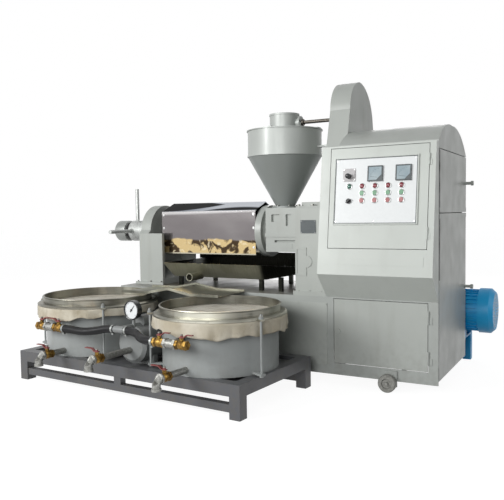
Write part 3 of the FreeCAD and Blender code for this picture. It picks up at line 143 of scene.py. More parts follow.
# Finishes
class Finish:
    """One material with its shader, and short calls for the patterns that drive it."""

    def __init__(self, name, colour, roughness, metallic=0.0):
        self.material = bpy.data.materials.new(name)
        self.material.use_nodes = True
        self.tree = self.material.node_tree
        self.shader = self.tree.nodes["Principled BSDF"]
        self.shader.inputs["Base Color"].default_value = colour
        self.shader.inputs["Roughness"].default_value = roughness
        self.shader.inputs["Metallic"].default_value = metallic
        self.place = self.tree.nodes.new("ShaderNodeTexCoord").outputs["Object"]

    def stretched(self, sizes):
        """Coordinates scaled along each axis."""
        mapping = self.tree.nodes.new("ShaderNodeMapping")
        mapping.inputs["Scale"].default_value = sizes
        self.tree.links.new(self.place, mapping.inputs["Vector"])
        return mapping.outputs["Vector"]

    def noise(self, scale, detail=3.0, vector=None, distortion=0.0):
        node = self.tree.nodes.new("ShaderNodeTexNoise")
        node.inputs["Scale"].default_value = scale
        node.inputs["Detail"].default_value = detail
        node.inputs["Distortion"].default_value = distortion
        self.tree.links.new(vector or self.place, node.inputs["Vector"])
        return node.outputs["Fac"]

    def axis(self, letter, vector=None):
        node = self.tree.nodes.new("ShaderNodeSeparateXYZ")
        self.tree.links.new(vector or self.place, node.inputs["Vector"])
        return node.outputs[letter]

    def span(self, value, low, high, out_low=0.0, out_high=1.0):
        """A value carried from one range to another and held at its ends."""
        node = self.tree.nodes.new("ShaderNodeMapRange")
        settings = {"From Min": low, "From Max": high, "To Min": out_low, "To Max": out_high}
        for label, number in settings.items():
            node.inputs[label].default_value = number
        self.tree.links.new(value, node.inputs["Value"])
        return node.outputs["Result"]

    def patches(self, scale, detail, *limits):
        """Noise spread between two limits."""
        return self.span(self.noise(scale, detail), *limits)

    def combined(self, operation, first, second):
        """Two numbers or values through one step of arithmetic."""
        node = self.tree.nodes.new("ShaderNodeMath")
        node.operation = operation
        for socket, value in zip(node.inputs, (first, second)):
            if isinstance(value, (int, float)):
                socket.default_value = value
            else:
                self.tree.links.new(value, socket)
        return node.outputs["Value"]

    def times(self, first, second):
        return self.combined("MULTIPLY", first, second)

    def plus(self, first, second):
        return self.combined("ADD", first, second)

    def minus(self, first, second):
        return self.combined("SUBTRACT", first, second)

    def larger(self, first, second):
        return self.combined("MAXIMUM", first, second)

    def mix(self, share, first, second):
        """From the first colour to the second as the share goes from 0 to 1."""
        node = self.tree.nodes.new("ShaderNodeMix")
        node.data_type = "RGBA"
        for index, value in ((0, share), (6, first), (7, second)):
            if isinstance(value, (int, float, tuple)):
                node.inputs[index].default_value = value
            else:
                self.tree.links.new(value, node.inputs[index])
        return node.outputs[2]

    def paint(self, colour):
        self.tree.links.new(colour, self.shader.inputs["Base Color"])

    def rough(self, value):
        self.tree.links.new(value, self.shader.inputs["Roughness"])

    def bump(self, height, strength, distance):
        node = self.tree.nodes.new("ShaderNodeBump")
        node.inputs["Strength"].default_value = strength
        node.inputs["Distance"].default_value = distance
        self.tree.links.new(height, node.inputs["Height"])
        self.tree.links.new(node.outputs["Normal"], self.shader.inputs["Normal"])


def shade(colour, factor):
    """A colour made lighter or darker."""
    return (colour[0] * factor, colour[1] * factor, colour[2] * factor, 1.0)


def sprayed_paint(name, colour, roughness=0.36, dirt=0.12, deck=None):
    """Sprayed enamel on sheet: faint clouds, run-down streaks, dust near the floor and, on a deck, oil
    stains darkened further by painted shade under the cage.
    """
    finish = Finish(name, colour, roughness)
    clouds = finish.patches(1.7, 4.0, 0.3, 0.7)
    body = finish.mix(clouds, shade(colour, 0.93), shade(colour, 1.04))
    streaks = finish.span(finish.noise(5.0, 5.0, finish.stretched((3.0, 3.0, 0.35))), 0.54, 0.78)
    body = finish.mix(finish.times(streaks, dirt * 1.4), body, tint(112, 106, 92))
    low = finish.span(finish.axis("Z"), 0.34, 0.0)
    specks = finish.patches(34.0, 6.0, 0.42, 0.68)
    body = finish.mix(finish.times(finish.times(low, specks), dirt * 1.9), body, tint(96, 90, 78))
    if deck is not None:
        # Deck under the cage: oil stains plus painted shade, darkening the top where the cage shades it.
        level = finish.span(finish.axis("Z"), deck - 0.0012, deck - 0.0004)
        bare = finish.times(level, finish.span(finish.axis("X"), 0.30, 0.22))
        oil = finish.span(finish.noise(3.2, 5.0, distortion=0.5), 0.34, 0.60, 0.45, 0.95)
        body = finish.mix(finish.times(bare, oil), body, tint(92, 84, 68))
    finish.paint(body)
    finish.rough(finish.patches(9.0, 3.0, 0.3, 0.7, roughness - 0.06, roughness + 0.10))
    finish.bump(finish.noise(240.0, 2.0), 0.10, 0.0006)
    return finish.material


def pressed_steel(name, colour, roughness, grain, warmth):
    """Stainless sheet with its grain, wide patches of painted light and dark reflections, and oily stains.
    """
    finish = Finish(name, colour, roughness, metallic=1.0)
    lines = finish.noise(4.0, 4.0, finish.stretched(grain))
    body = finish.mix(finish.span(lines, 0.3, 0.7), shade(colour, 0.80), shade(colour, 1.12))
    # Painted reflections: wide patches of the colour lightened and darkened.
    reflection_sweep = finish.noise(3.4, 2.0, finish.stretched((1.0, 1.0, 0.5)))
    body = finish.mix(finish.times(finish.span(reflection_sweep, 0.50, 0.68), 0.75), body, shade(colour, 2.6))
    body = finish.mix(finish.times(finish.span(reflection_sweep, 0.48, 0.32), 0.70), body, shade(colour, 0.28))
    stains = finish.span(finish.noise(6.5, 5.0, distortion=0.8), 0.50, 0.72)
    body = finish.mix(finish.times(stains, warmth), body, tint(150, 122, 84))
    drips = finish.span(finish.noise(14.0, 4.0, finish.stretched((2.6, 2.6, 0.5))), 0.56, 0.75)
    body = finish.mix(finish.times(drips, 0.35), body, tint(78, 74, 62))
    finish.paint(body)
    finish.rough(finish.span(lines, 0.2, 0.8, roughness - 0.08, roughness + 0.14))
    finish.bump(lines, 0.18, 0.0008)
    return finish.material


def shaded_oily_tray():
    """Stainless tray: plain outside; inside and under the feed block darkened to near black as painted
    shade, with a smoother oily surface there.
    """
    colour = tint(142, 141, 126)
    finish = Finish("shaded_oily_tray", colour, 0.42, metallic=0.9)
    lines = finish.noise(4.0, 4.0, finish.stretched((60.0, 3.0, 3.0)))
    body = finish.mix(finish.span(lines, 0.3, 0.7), shade(colour, 0.86), shade(colour, 1.08))
    stains = finish.span(finish.noise(7.0, 5.0, distortion=0.6), 0.48, 0.72)
    body = finish.mix(finish.times(stains, 0.4), body, tint(96, 92, 72))
    # Painted shade inside the tray and under the feed block; the same mask makes the surface smoother, as
    # oil.
    inside = finish.span(finish.axis("Y"), 0.088, 0.098)
    shadowed = finish.span(finish.axis("X"), 0.045, 0.075)
    oil_and_shade = finish.times(finish.larger(inside, shadowed), 0.97)
    finish.paint(finish.mix(oil_and_shade, body, tint(20, 22, 18)))
    smooth = finish.minus(oil_and_shade, finish.span(lines, 0.2, 0.8))
    finish.rough(finish.span(smooth, -1.0, 1.0, 0.5, 0.22))
    finish.bump(lines, 0.15, 0.0008)
    return finish.material


def mirror_hood():
    """Polished cover with painted reflections: dark lobes and a bright streak on the lid, a grey front with
    a painted highlight under its fold, a band of golden reflections with dark blotches and glints along its
    foot, and a painted highlight on the hem.
    """
    finish = Finish("polished_hood", tint(150, 146, 146), 0.14, metallic=0.8)
    finish.shader.inputs["Specular Tint"].default_value = (0.30, 0.30, 0.31, 1.0)
    height = finish.axis("Z")
    # Painted reflections on the lid: dark lobes and a bright streak, laid out along and up the hood.
    length = finish.span(finish.axis("X"), -0.783, -0.058)
    rise = finish.span(height, 0.978, 1.034)
    upper = finish.minus(rise, finish.times(finish.times(length, length), 2.0))
    tip = finish.plus(finish.times(length, 1.4), rise)
    upper = finish.times(finish.span(upper, -0.02, 0.05), finish.span(tip, 1.64, 1.56))
    bow = finish.minus(length, 0.83)
    bow = finish.times(finish.times(bow, bow), 2.74)
    lower = finish.minus(finish.minus(0.46, bow), rise)
    lower = finish.times(finish.span(lower, -0.02, 0.12), finish.span(rise, 0.03, 0.07))
    dark = finish.larger(upper, lower)
    cloud = finish.noise(3.0, 2.0, finish.stretched((1.0, 1.0, 2.0)))
    dark_reflection = finish.mix(finish.span(cloud, 0.42, 0.58), tint(10, 12, 14), tint(44, 50, 49))
    bright_reflection = finish.mix(finish.span(length, 0.15, 0.6), tint(150, 157, 168), tint(232, 236, 242))
    lid = finish.mix(dark, bright_reflection, dark_reflection)
    front = finish.mix(finish.span(cloud, 0.35, 0.65), tint(126, 121, 122), tint(142, 138, 138))
    # Painted highlight along the front's upper fold.
    lit = finish.span(finish.plus(height, finish.times(length, -0.014)), 0.950, 0.964)
    front = finish.mix(finish.times(lit, 0.8), front, tint(216, 214, 214))
    # Painted golden reflections with dark blotches, and painted glints, on the band at the foot, kept to
    # the front side.
    reflection_blotches = finish.noise(8.0, 4.0, finish.stretched((1.0, 1.0, 1.3)), distortion=0.9)
    golden_reflection = finish.mix(finish.span(reflection_blotches, 0.46, 0.51), tint(214, 190, 140), tint(74, 60, 44))
    glints = finish.noise(22.0, 3.0, distortion=1.0)
    golden_reflection = finish.mix(finish.times(finish.span(glints, 0.58, 0.64), 0.6), golden_reflection, tint(240, 226, 192))
    edge = finish.plus(height, finish.span(reflection_blotches, 0.3, 0.7, -0.010, 0.010))
    near = finish.span(finish.axis("Y"), 0.30, 0.26)
    body = finish.mix(finish.times(finish.span(edge, 0.796, 0.786), near), front, golden_reflection)
    # Painted highlight along the hem.
    body = finish.mix(finish.span(height, 0.706, 0.703), body, tint(196, 190, 170))
    body = finish.mix(finish.span(height, 0.9775, 0.9790), body, lid)
    finish.paint(body)
    finish.bump(finish.noise(3.5, 2.0), 0.10, 0.004)
    return finish.material


def hopper_enamel():
    """Satin grey of the hopper, with painted shade making its cone darker."""
    base = tint(178, 182, 178)
    finish = Finish("hopper_enamel", base, 0.40, metallic=0.15)
    # Painted shade: the cone below the band is darkened.
    cone = finish.span(finish.axis("Z"), 1.3115, 1.3095)
    clouds = finish.patches(3.0, 4.0, 0.3, 0.7)
    body = finish.mix(clouds, shade(base, 0.95), shade(base, 1.03))
    finish.paint(finish.mix(finish.times(cone, 0.75), body, tint(128, 133, 131)))
    streaks = finish.noise(9.0, 4.0, finish.stretched((3.0, 3.0, 0.4)))
    finish.rough(finish.span(streaks, 0.3, 0.7, 0.36, 0.50))
    finish.bump(finish.noise(200.0, 2.0), 0.08, 0.0005)
    return finish.material


def turned_steel(name, colour, roughness, metallic=1.0):
    """Plain machined steel with a faint film of oil."""
    finish = Finish(name, colour, roughness, metallic)
    film = finish.patches(11.0, 4.0, 0.35, 0.70)
    finish.paint(finish.mix(film, shade(colour, 1.05), shade(colour, 0.86)))
    finish.rough(finish.span(film, 0.0, 1.0, roughness - 0.05, roughness + 0.10))
    finish.bump(finish.noise(300.0, 2.0), 0.05, 0.0004)
    return finish.material


def rough_casting(name, colour, roughness, metallic):
    """Grainy casting, darker and smoother where oil lies on it."""
    finish = Finish(name, colour, roughness, metallic)
    grain = finish.noise(90.0, 5.0)
    oil = finish.patches(8.0, 4.0, 0.45, 0.7)
    body = finish.mix(finish.span(grain, 0.3, 0.7), shade(colour, 0.75), shade(colour, 1.25))
    finish.paint(finish.mix(finish.times(oil, 0.5), body, tint(44, 38, 30)))
    finish.rough(finish.span(oil, 0.0, 1.0, roughness, roughness - 0.22))
    finish.bump(grain, 0.35, 0.0012)
    return finish.material


def moulded_plastic(name, colour, roughness, variation=0.10):
    """Smooth plastic or lacquer, a little uneven, under a thin clear coat."""
    finish = Finish(name, colour, roughness)
    clouds = finish.patches(60.0, 3.0, 0.3, 0.7)
    finish.paint(finish.mix(clouds, shade(colour, 1 - variation), shade(colour, 1 + variation)))
    finish.rough(finish.patches(25.0, 3.0, 0.3, 0.7, roughness - 0.05, roughness + 0.10))
    finish.shader.inputs["Coat Weight"].default_value = 0.25
    return finish.material


def soft_rubber(name, colour, roughness=0.5, dusty=0.35):
    """Rubber with a film of dust."""
    finish = Finish(name, colour, roughness)
    dust = finish.patches(18.0, 5.0, 0.48, 0.75)
    finish.paint(finish.mix(finish.times(dust, dusty), colour, tint(74, 72, 68)))
    finish.rough(finish.span(dust, 0.0, 1.0, roughness - 0.12, roughness + 0.18))
    finish.shader.inputs["Specular IOR Level"].default_value = 0.22
    finish.bump(finish.noise(120.0, 4.0), 0.25, 0.0008)
    return finish.material


def valve_brass():
    """Brass with brown tarnish."""
    finish = Finish("valve_brass", tint(138, 110, 58), 0.40, metallic=1.0)
    tarnish = finish.patches(38.0, 5.0, 0.36, 0.64)
    finish.paint(finish.mix(tarnish, tint(160, 128, 66), tint(86, 64, 32)))
    finish.rough(finish.span(tarnish, 0.0, 1.0, 0.30, 0.54))
    finish.bump(finish.noise(160.0, 3.0), 0.2, 0.0006)
    return finish.material


def galvanised():
    """Zinc with its crystals and darker patches."""
    finish = Finish("galvanised_iron", tint(150, 150, 146), 0.46, metallic=0.7)
    cells = finish.tree.nodes.new("ShaderNodeTexVoronoi")
    cells.inputs["Scale"].default_value = 90.0
    finish.tree.links.new(finish.place, cells.inputs["Vector"])
    crystals = finish.span(cells.outputs["Distance"], 0.1, 0.8)
    body = finish.mix(crystals, tint(160, 160, 156), tint(128, 128, 123))
    dark = finish.patches(30.0, 4.0, 0.5, 0.72)
    finish.paint(finish.mix(finish.times(dark, 0.25), body, tint(98, 94, 86)))
    finish.bump(finish.noise(110.0, 3.0), 0.08, 0.0005)
    return finish.material


def filter_cotton():
    """Woven cotton with a damp, oily middle; its UV map runs across and down the cloth."""
    finish = Finish("filter_cotton", tint(196, 188, 168), 0.88)
    uv = finish.tree.nodes.new("ShaderNodeTexCoord").outputs["UV"]
    weave = finish.tree.nodes.new("ShaderNodeTexWave")
    weave.inputs["Scale"].default_value = 150.0
    weave.inputs["Distortion"].default_value = 1.5
    finish.tree.links.new(uv, weave.inputs["Vector"])
    across = finish.tree.nodes.new("ShaderNodeTexWave")
    across.bands_direction = "Y"
    across.inputs["Scale"].default_value = 150.0
    across.inputs["Distortion"].default_value = 1.5
    finish.tree.links.new(uv, across.inputs["Vector"])
    threads = finish.times(weave.outputs["Fac"], across.outputs["Fac"])
    clouds = finish.patches(7.0, 5.0, 0.35, 0.68)
    body = finish.mix(clouds, tint(206, 200, 184), tint(168, 158, 136))
    stains = finish.span(finish.noise(15.0, 5.0, distortion=0.6), 0.55, 0.72)
    body = finish.mix(finish.times(stains, 0.45), body, tint(120, 104, 74))
    finish.paint(finish.mix(finish.times(threads, 0.16), body, tint(110, 104, 92)))
    finish.bump(threads, 0.35, 0.0009)
    finish.shader.inputs["Sheen Weight"].default_value = 0.2
    return finish.material


def tank_enamel():
    """Grey enamel of the vacuum tank, black on the gauge's case."""
    base = tint(128, 131, 130)
    finish = Finish("tank_enamel", base, 0.42)
    mapping = finish.tree.nodes.new("ShaderNodeMapping")
    mapping.inputs["Location"].default_value = tuple(station_place.inverted().to_translation())
    mapping.inputs["Rotation"].default_value = (0.0, 0.0, -station_turn)
    finish.tree.links.new(finish.place, mapping.inputs["Vector"])
    local = mapping.outputs["Vector"]
    above = finish.span(finish.axis("Z", local), 0.402, 0.4035)
    before = finish.span(finish.axis("Y", local), 0.116, 0.112)
    clouds = finish.patches(5.0, 4.0, 0.35, 0.7)
    body = finish.mix(clouds, shade(base, 0.86), shade(base, 1.06))
    rust = finish.patches(20.0, 5.0, 0.60, 0.74)
    body = finish.mix(finish.times(rust, 0.5), body, tint(98, 84, 66))
    finish.paint(finish.mix(finish.times(above, before), body, tint(26, 28, 30)))
    finish.bump(finish.noise(180.0, 2.0), 0.12, 0.0006)
    return finish.material


def meter_glass():
    """Pale glass of the meters, with a soft reflection."""
    finish = Finish("meter_glass", tint(158, 174, 180), 0.12)
    glow = finish.patches(14.0, 2.0, 0.3, 0.7)
    finish.paint(finish.mix(glow, tint(146, 164, 172), tint(176, 190, 194)))
    finish.shader.inputs["Coat Weight"].default_value = 0.6
    return finish.material


paint = sprayed_paint("press_enamel", tint(170, 174, 169))
base_paint = sprayed_paint("base_enamel", tint(164, 168, 164), deck=deck_top)
box_paint = sprayed_paint("panel_box_enamel", tint(196, 201, 195), 0.34, 0.06)
station_paint = sprayed_paint("station_enamel", tint(82, 83, 86), 0.40, 0.20)
drum_paint = sprayed_paint("drum_enamel", tint(146, 150, 149), 0.34, 0.16)
hopper_steel = hopper_enamel()
pan_steel = pressed_steel("pan_steel", tint(128, 127, 118), 0.34, (3.0, 3.0, 90.0), 0.16)
tray_steel = shaded_oily_tray()
divider_steel = pressed_steel("divider_steel", tint(116, 116, 106), 0.40, (3.0, 60.0, 3.0), 0.12)
bright_steel = turned_steel("bright_steel", tint(188, 189, 188), 0.26)
bar_steel = turned_steel("bar_steel", tint(176, 178, 176), 0.36, 0.45)
hub_steel = turned_steel("hub_steel", tint(150, 153, 150), 0.36, 0.6)
hub_casting = rough_casting("hub_casting", tint(190, 193, 190), 0.45, 0.30)
dark_steel = rough_casting("oiled_steel", tint(92, 88, 82), 0.45, 0.9)
wheel_iron = rough_casting("wheel_iron", tint(132, 132, 127), 0.6, 0.4)
belt_rubber = soft_rubber("belt_rubber", tint(30, 30, 30))
hose_rubber = soft_rubber("hose_rubber", tint(17, 17, 19), 0.50, 0.10)
motor_paint = sprayed_paint("motor_enamel", tint(2, 160, 219), 0.42, 0.05)
cotton = filter_cotton()
brass = valve_brass()
zinc = galvanised()
lever_red = moulded_plastic("lever_red", tint(118, 54, 52), 0.50)
panel_white = moulded_plastic("panel_white", tint(226, 229, 229), 0.34, 0.015)
lamp_red = moulded_plastic("lamp_red", tint(128, 34, 48), 0.14)
lamp_green = moulded_plastic("lamp_green", tint(34, 96, 78), 0.14)
start_green = moulded_plastic("start_green", tint(122, 166, 134), 0.22)
stop_red = moulded_plastic("stop_red", tint(176, 116, 116), 0.22)
black_plastic = moulded_plastic("black_plastic", tint(30, 32, 34), 0.22)
bezel_grey = moulded_plastic("meter_bezel", tint(62, 70, 72), 0.30)
switch_grey = moulded_plastic("switch_plate", tint(178, 176, 176), 0.30)
dial_white = moulded_plastic("dial_white", tint(222, 225, 226), 0.30, 0.02)
glass = meter_glass()
hood_mirror = mirror_hood()

node_finishes = {
    "base_frame": base_paint, "motor": motor_paint, "station_frame": station_paint,
    "filter_drums": drum_paint, "vacuum_tank": tank_enamel(),
    "electric_box": box_paint, "electric_door": box_paint,
    "hopper": hopper_steel, "feeder_housing": hopper_steel,
    "wheels_left": wheel_iron, "wheels_right": wheel_iron, "adjuster_hub": hub_casting,
    "press_cage": dark_steel, "press_screw": dark_steel, "gear_layshaft": dark_steel,
    "input_shaft": dark_steel, "motor_shaft": dark_steel, "feeder_shaft": dark_steel,
    "choke_sleeve": bright_steel, "feed_auger": bright_steel, "cage_hood": hood_mirror,
    "oil_pan": tray_steel, "oil_divider": divider_steel, "filter_pans": pan_steel,
    "drive_belts": belt_rubber, "gauge_needle": black_plastic,
    "switch_knob": black_plastic, "selector_knob": black_plastic,
}
family_finishes = {"lever_": lever_red, "button_start": start_green, "button_stop": stop_red}


def finish_for(name):
    """Finish of a piece: its family's, its own or the press's enamel."""
    for start, family_finish in family_finishes.items():
        if name.startswith(start):
            return family_finish
    return node_finishes.get(name, paint)


for node_name, node_object in nodes.items():
    node_object.data.materials.clear()
    node_object.data.materials.append(finish_for(node_name))

lay_hose("hose_left", hose_rubber)
lay_hose("hose_right", hose_rubber)


# Making pieces
def keep(name, mesh, finish, body, place=None, angle=32.0):
    """Object with its place in its mesh, one finish, and the body it rides on."""
    if place is not None:
        mesh.transform(place)
    mesh.materials.clear()
    mesh.materials.append(finish)
    mesh.shade_smooth()
    mesh.set_sharp_from_angle(angle=math.radians(angle))
    thing = add_object(name, mesh)
    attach(thing, body)
    return thing


def finished(shape, name):
    """Mesh of a shape, with its doubles merged and its faces outwards."""
    bmesh.ops.remove_doubles(shape, verts=shape.verts, dist=1e-6)
    bmesh.ops.recalc_face_normals(shape, faces=shape.faces)
    mesh = bpy.data.meshes.new(name)
    shape.to_mesh(mesh)
    shape.free()
    return mesh


def piece(name, shape, finish, body, place=None, angle=32.0):
    """Piece of the scene from a shape."""
    return keep(name, finished(shape, name), finish, body, place, angle)


def round_point(radius, angle, height=0.0):
    """Point at an angle around Z."""
    return Vector((radius * math.cos(angle), radius * math.sin(angle), height))


def skin(shape, rings):
    """Adds the faces between each ring of points and the next."""
    count = len(rings[0])
    for lower, upper in zip(rings, rings[1:]):
        for step in range(count):
            following = (step + 1) % count
            shape.faces.new([lower[step], lower[following], upper[following], upper[step]])


def lathe(shape, profile, place, segments):
    """Adds a closed profile of (radius, height) turned about its own Z, carried to its place."""
    rings = []
    for radius, height in profile:
        angles = [full_turn * step / segments for step in range(segments)]
        rings.append([shape.verts.new(place @ round_point(radius, angle, height)) for angle in angles])
    skin(shape, rings + rings[:1])


def prism(shape, outline, low, high, place):
    """Adds an upright prism over a flat outline of (x, y)."""
    bottom = [shape.verts.new(place @ Vector((x, y, low))) for x, y in outline]
    top = [shape.verts.new(place @ Vector((x, y, high))) for x, y in outline]
    shape.faces.new(bottom)
    shape.faces.new(top)
    for index in range(len(outline)):
        following = (index + 1) % len(outline)
        shape.faces.new([bottom[index], bottom[following], top[following], top[index]])


def slab(shape, low, high, place, soften=0.0):
    """Adds a box, with its edges softened where asked."""
    made = bmesh.ops.create_cube(shape, size=1.0)["verts"]
    low = Vector(low)
    high = Vector(high)
    for vert in made:
        vert.co = Vector((low[i] + (vert.co[i] + 0.5) * (high[i] - low[i]) for i in range(3)))
    if soften:
        edges = list({edge for vert in made for edge in vert.link_edges})
        made = bmesh.ops.bevel(shape, geom=edges, offset=soften, segments=2, affect="EDGES")["verts"]
        seen = set(made)
        frontier = list(made)
        while frontier:
            vert = frontier.pop()
            for edge in vert.link_edges:
                other = edge.other_vert(vert)
                if other not in seen:
                    seen.add(other)
                    frontier.append(other)
        made = list(seen)
    for vert in made:
        vert.co = place @ vert.co


def looking(direction):
    """Turn that carries Z to a direction."""
    return Vector(direction).to_track_quat("Z", "Y").to_matrix().to_4x4()


def six_sided(radius):
    """Outline of a hexagon, given its corners' radius."""
    return [round_point(radius, math.radians(60 * corner)).to_2d() for corner in range(6)]


def border(shape, low, high, depths, width, place, soften=0.0):
    """Adds the four bars of an upright frame between two corners of (x, z)."""
    left, bottom = low
    right, top = high
    back, front = depths
    bars = (((left, bottom), (left + width, top)), ((right - width, bottom), (right, top)),
            ((left + width, bottom), (right - width, bottom + width)),
            ((left + width, top - width), (right - width, top)))
    for (x_low, z_low), (x_high, z_high) in bars:
        slab(shape, (x_low, back, z_low), (x_high, front, z_high), place, soften)


# Fasteners by geometry nodes
def socket_id(tree, name):
    """Identifier of a tree's input, found by its name."""
    inputs = [item for item in tree.interface.items_tree if item.in_out == "INPUT"]
    return next(item.identifier for item in inputs if item.name == name)


def fastener_tree():
    """A washer and a six-sided head on every point, turned to face one way."""
    tree = bpy.data.node_groups.new("fasteners", "GeometryNodeTree")
    tree.interface.new_socket("Places", in_out="INPUT", socket_type="NodeSocketGeometry")
    for name in ("Head radius", "Head height", "Washer radius", "Washer height"):
        tree.interface.new_socket(name, in_out="INPUT", socket_type="NodeSocketFloat")
    tree.interface.new_socket("Sides", in_out="INPUT", socket_type="NodeSocketInt")
    tree.interface.new_socket("Turn", in_out="INPUT", socket_type="NodeSocketVector")
    tree.interface.new_socket("Finish", in_out="INPUT", socket_type="NodeSocketMaterial")
    tree.interface.new_socket("Fasteners", in_out="OUTPUT", socket_type="NodeSocketGeometry")
    new = tree.nodes.new
    link = tree.links.new
    entry = new("NodeGroupInput").outputs

    def disc(radius, height, sides):
        """Cylinder that stands on a level, and the socket that takes the level."""
        solid = new("GeometryNodeMeshCylinder")
        link(radius, solid.inputs["Radius"])
        link(height, solid.inputs["Depth"])
        if isinstance(sides, int):
            solid.inputs["Vertices"].default_value = sides
        else:
            link(sides, solid.inputs["Vertices"])
        level = new("ShaderNodeMath")
        level.operation = "MULTIPLY_ADD"
        link(height, level.inputs[0])
        level.inputs[1].default_value = 0.5
        level.inputs[2].default_value = 0.0
        offset = new("ShaderNodeCombineXYZ")
        link(level.outputs[0], offset.inputs["Z"])
        move = new("GeometryNodeTransform")
        link(solid.outputs["Mesh"], move.inputs["Geometry"])
        link(offset.outputs[0], move.inputs["Translation"])
        return move.outputs["Geometry"], level.inputs[2]

    join = new("GeometryNodeJoinGeometry")
    washer, _ = disc(entry["Washer radius"], entry["Washer height"], 20)
    head, head_foot = disc(entry["Head radius"], entry["Head height"], entry["Sides"])
    link(entry["Washer height"], head_foot)
    link(washer, join.inputs[0])
    link(head, join.inputs[0])
    spread = new("GeometryNodeInstanceOnPoints")
    link(entry["Places"], spread.inputs["Points"])
    link(join.outputs[0], spread.inputs["Instance"])
    link(entry["Turn"], spread.inputs["Rotation"])
    real = new("GeometryNodeRealizeInstances")
    link(spread.outputs[0], real.inputs[0])
    coat = new("GeometryNodeSetMaterial")
    link(real.outputs[0], coat.inputs["Geometry"])
    link(entry["Finish"], coat.inputs["Material"])
    link(coat.outputs[0], new("NodeGroupOutput").inputs[0])
    return tree


fasteners = fastener_tree()


def fasten(name, points, facing, finish, body, sizes, sides=6, place=None):
    """Screws or bolts at points, facing one way; sizes are head radius, head height, washer radius."""
    head, tall, washer = sizes
    mesh = bpy.data.meshes.new(name + "_places")
    spots = [place @ Vector(point) if place else Vector(point) for point in points]
    mesh.from_pydata(spots, [], [])
    holder = add_object(name + "_places", mesh)
    modifier = holder.modifiers.new("fasteners", "NODES")
    modifier.node_group = fasteners
    direction = Vector(facing)
    if place:
        direction = place.to_3x3() @ direction
    turn = direction.to_track_quat("Z", "Y").to_euler()
    settings = {"Head radius": head, "Head height": tall, "Sides": sides, "Turn": tuple(turn),
                "Washer radius": washer, "Washer height": tall * 0.3, "Finish": finish}
    for label, value in settings.items():
        modifier[socket_id(fasteners, label)] = value
    holder.update_tag()
    shown = holder.evaluated_get(bpy.context.evaluated_depsgraph_get())
    made = bpy.data.meshes.new_from_object(shown)
    bpy.data.objects.remove(holder)
    made.name = name
    return keep(name, made, finish, body)


def crossed(first, second):
    """Every pair of one value with another."""
    return [(one, other) for one in first for other in second]


def fasten_press():
    """Bolts and screws of the gearbox, the end frame, the base, the hopper, the hood and the plates."""
    lid_top = 0.997
    lid_spots = crossed((0.318, 0.403, 0.486), (0.060, 0.660)) + crossed((0.316, 0.488), (0.21, 0.36, 0.51))
    fasten("lid_bolts", [(x, y, lid_top) for x, y in lid_spots], upwards, zinc, "press",
           (0.009, 0.008, 0.013))
    fasten("gearbox_foot_bolts", [(x, 0.0165, 0.513) for x in (0.330, 0.400, 0.470)], upwards, paint,
           "press", (0.0035, 0.004, 0.0038))
    foot_spots = [(x, y) for y in (0.153, 0.567) for x in (-0.945, -0.84, -0.752)]
    fasten("end_frame_bolts", [(x, y, 0.505) for x, y in foot_spots], upwards, zinc, "press",
           (0.0055, 0.006, 0.0068))
    cover_spots = crossed((-0.034, 0.140, 0.328, 0.502), (0.112, 0.447)) + crossed((-0.034, 0.502), (0.28,))
    fasten("base_cover_screws", [(x, 0.007, z) for x, z in cover_spots], to_front, paint, "press",
           (0.0045, 0.003, 0.0055), 12)
    flange = [hopper_line + round_point(0.071, math.radians(angle), 1.0) for angle in range(15, 375, 60)]
    fasten("hopper_flange_bolts", flange, upwards, zinc, "press", (0.006, 0.006, 0.009))
    hood_spots = crossed((-0.072, -0.768), (0.955, 0.868, 0.745))
    for name, y, facing in (("hood_screws", 0.2198, to_front), ("hood_screws_back", 0.5002, to_back)):
        fasten(name, [(x, y, z) for x, z in hood_spots], facing, bright_steel, "cage_hood",
               (0.005, 0.003, 0.008), 16)
    panel_spots = ((0.600, 0.607), (1.021, 0.607), (0.600, 0.283), (1.021, 0.283), (0.810, 0.283))
    fasten("panel_screws", [(x, -0.003, z) for x, z in panel_spots], to_front, bright_steel, "panel_door",
           (0.0026, 0.0012, 0.0042), 12, panel_place)
    switch_spots = ((0.640, 0.558), (0.697, 0.558), (0.640, 0.502), (0.697, 0.502))
    fasten("switch_screws", [(x, -0.007, z) for x, z in switch_spots], to_front, bright_steel, "panel_door",
           (0.0022, 0.001, 0.0034), 12, panel_place)
    plate_spots = crossed((0.351, 0.435), (0.847, 0.911))
    fasten("name_plate_rivets", [(x, 0.018, z) for x, z in plate_spots], to_front, bright_steel, "press",
           (0.002, 0.0015, 0.003), 12)


fasten_press()


# Control panel, laid out flat: x along the face, y behind it, z up it
def panel_spot(x, z):
    """Place on the panel's face whose Z comes out of it."""
    return panel_place @ Matrix.Translation((x, 0.0, z)) @ Matrix.Rotation(math.radians(90), 4, "X")


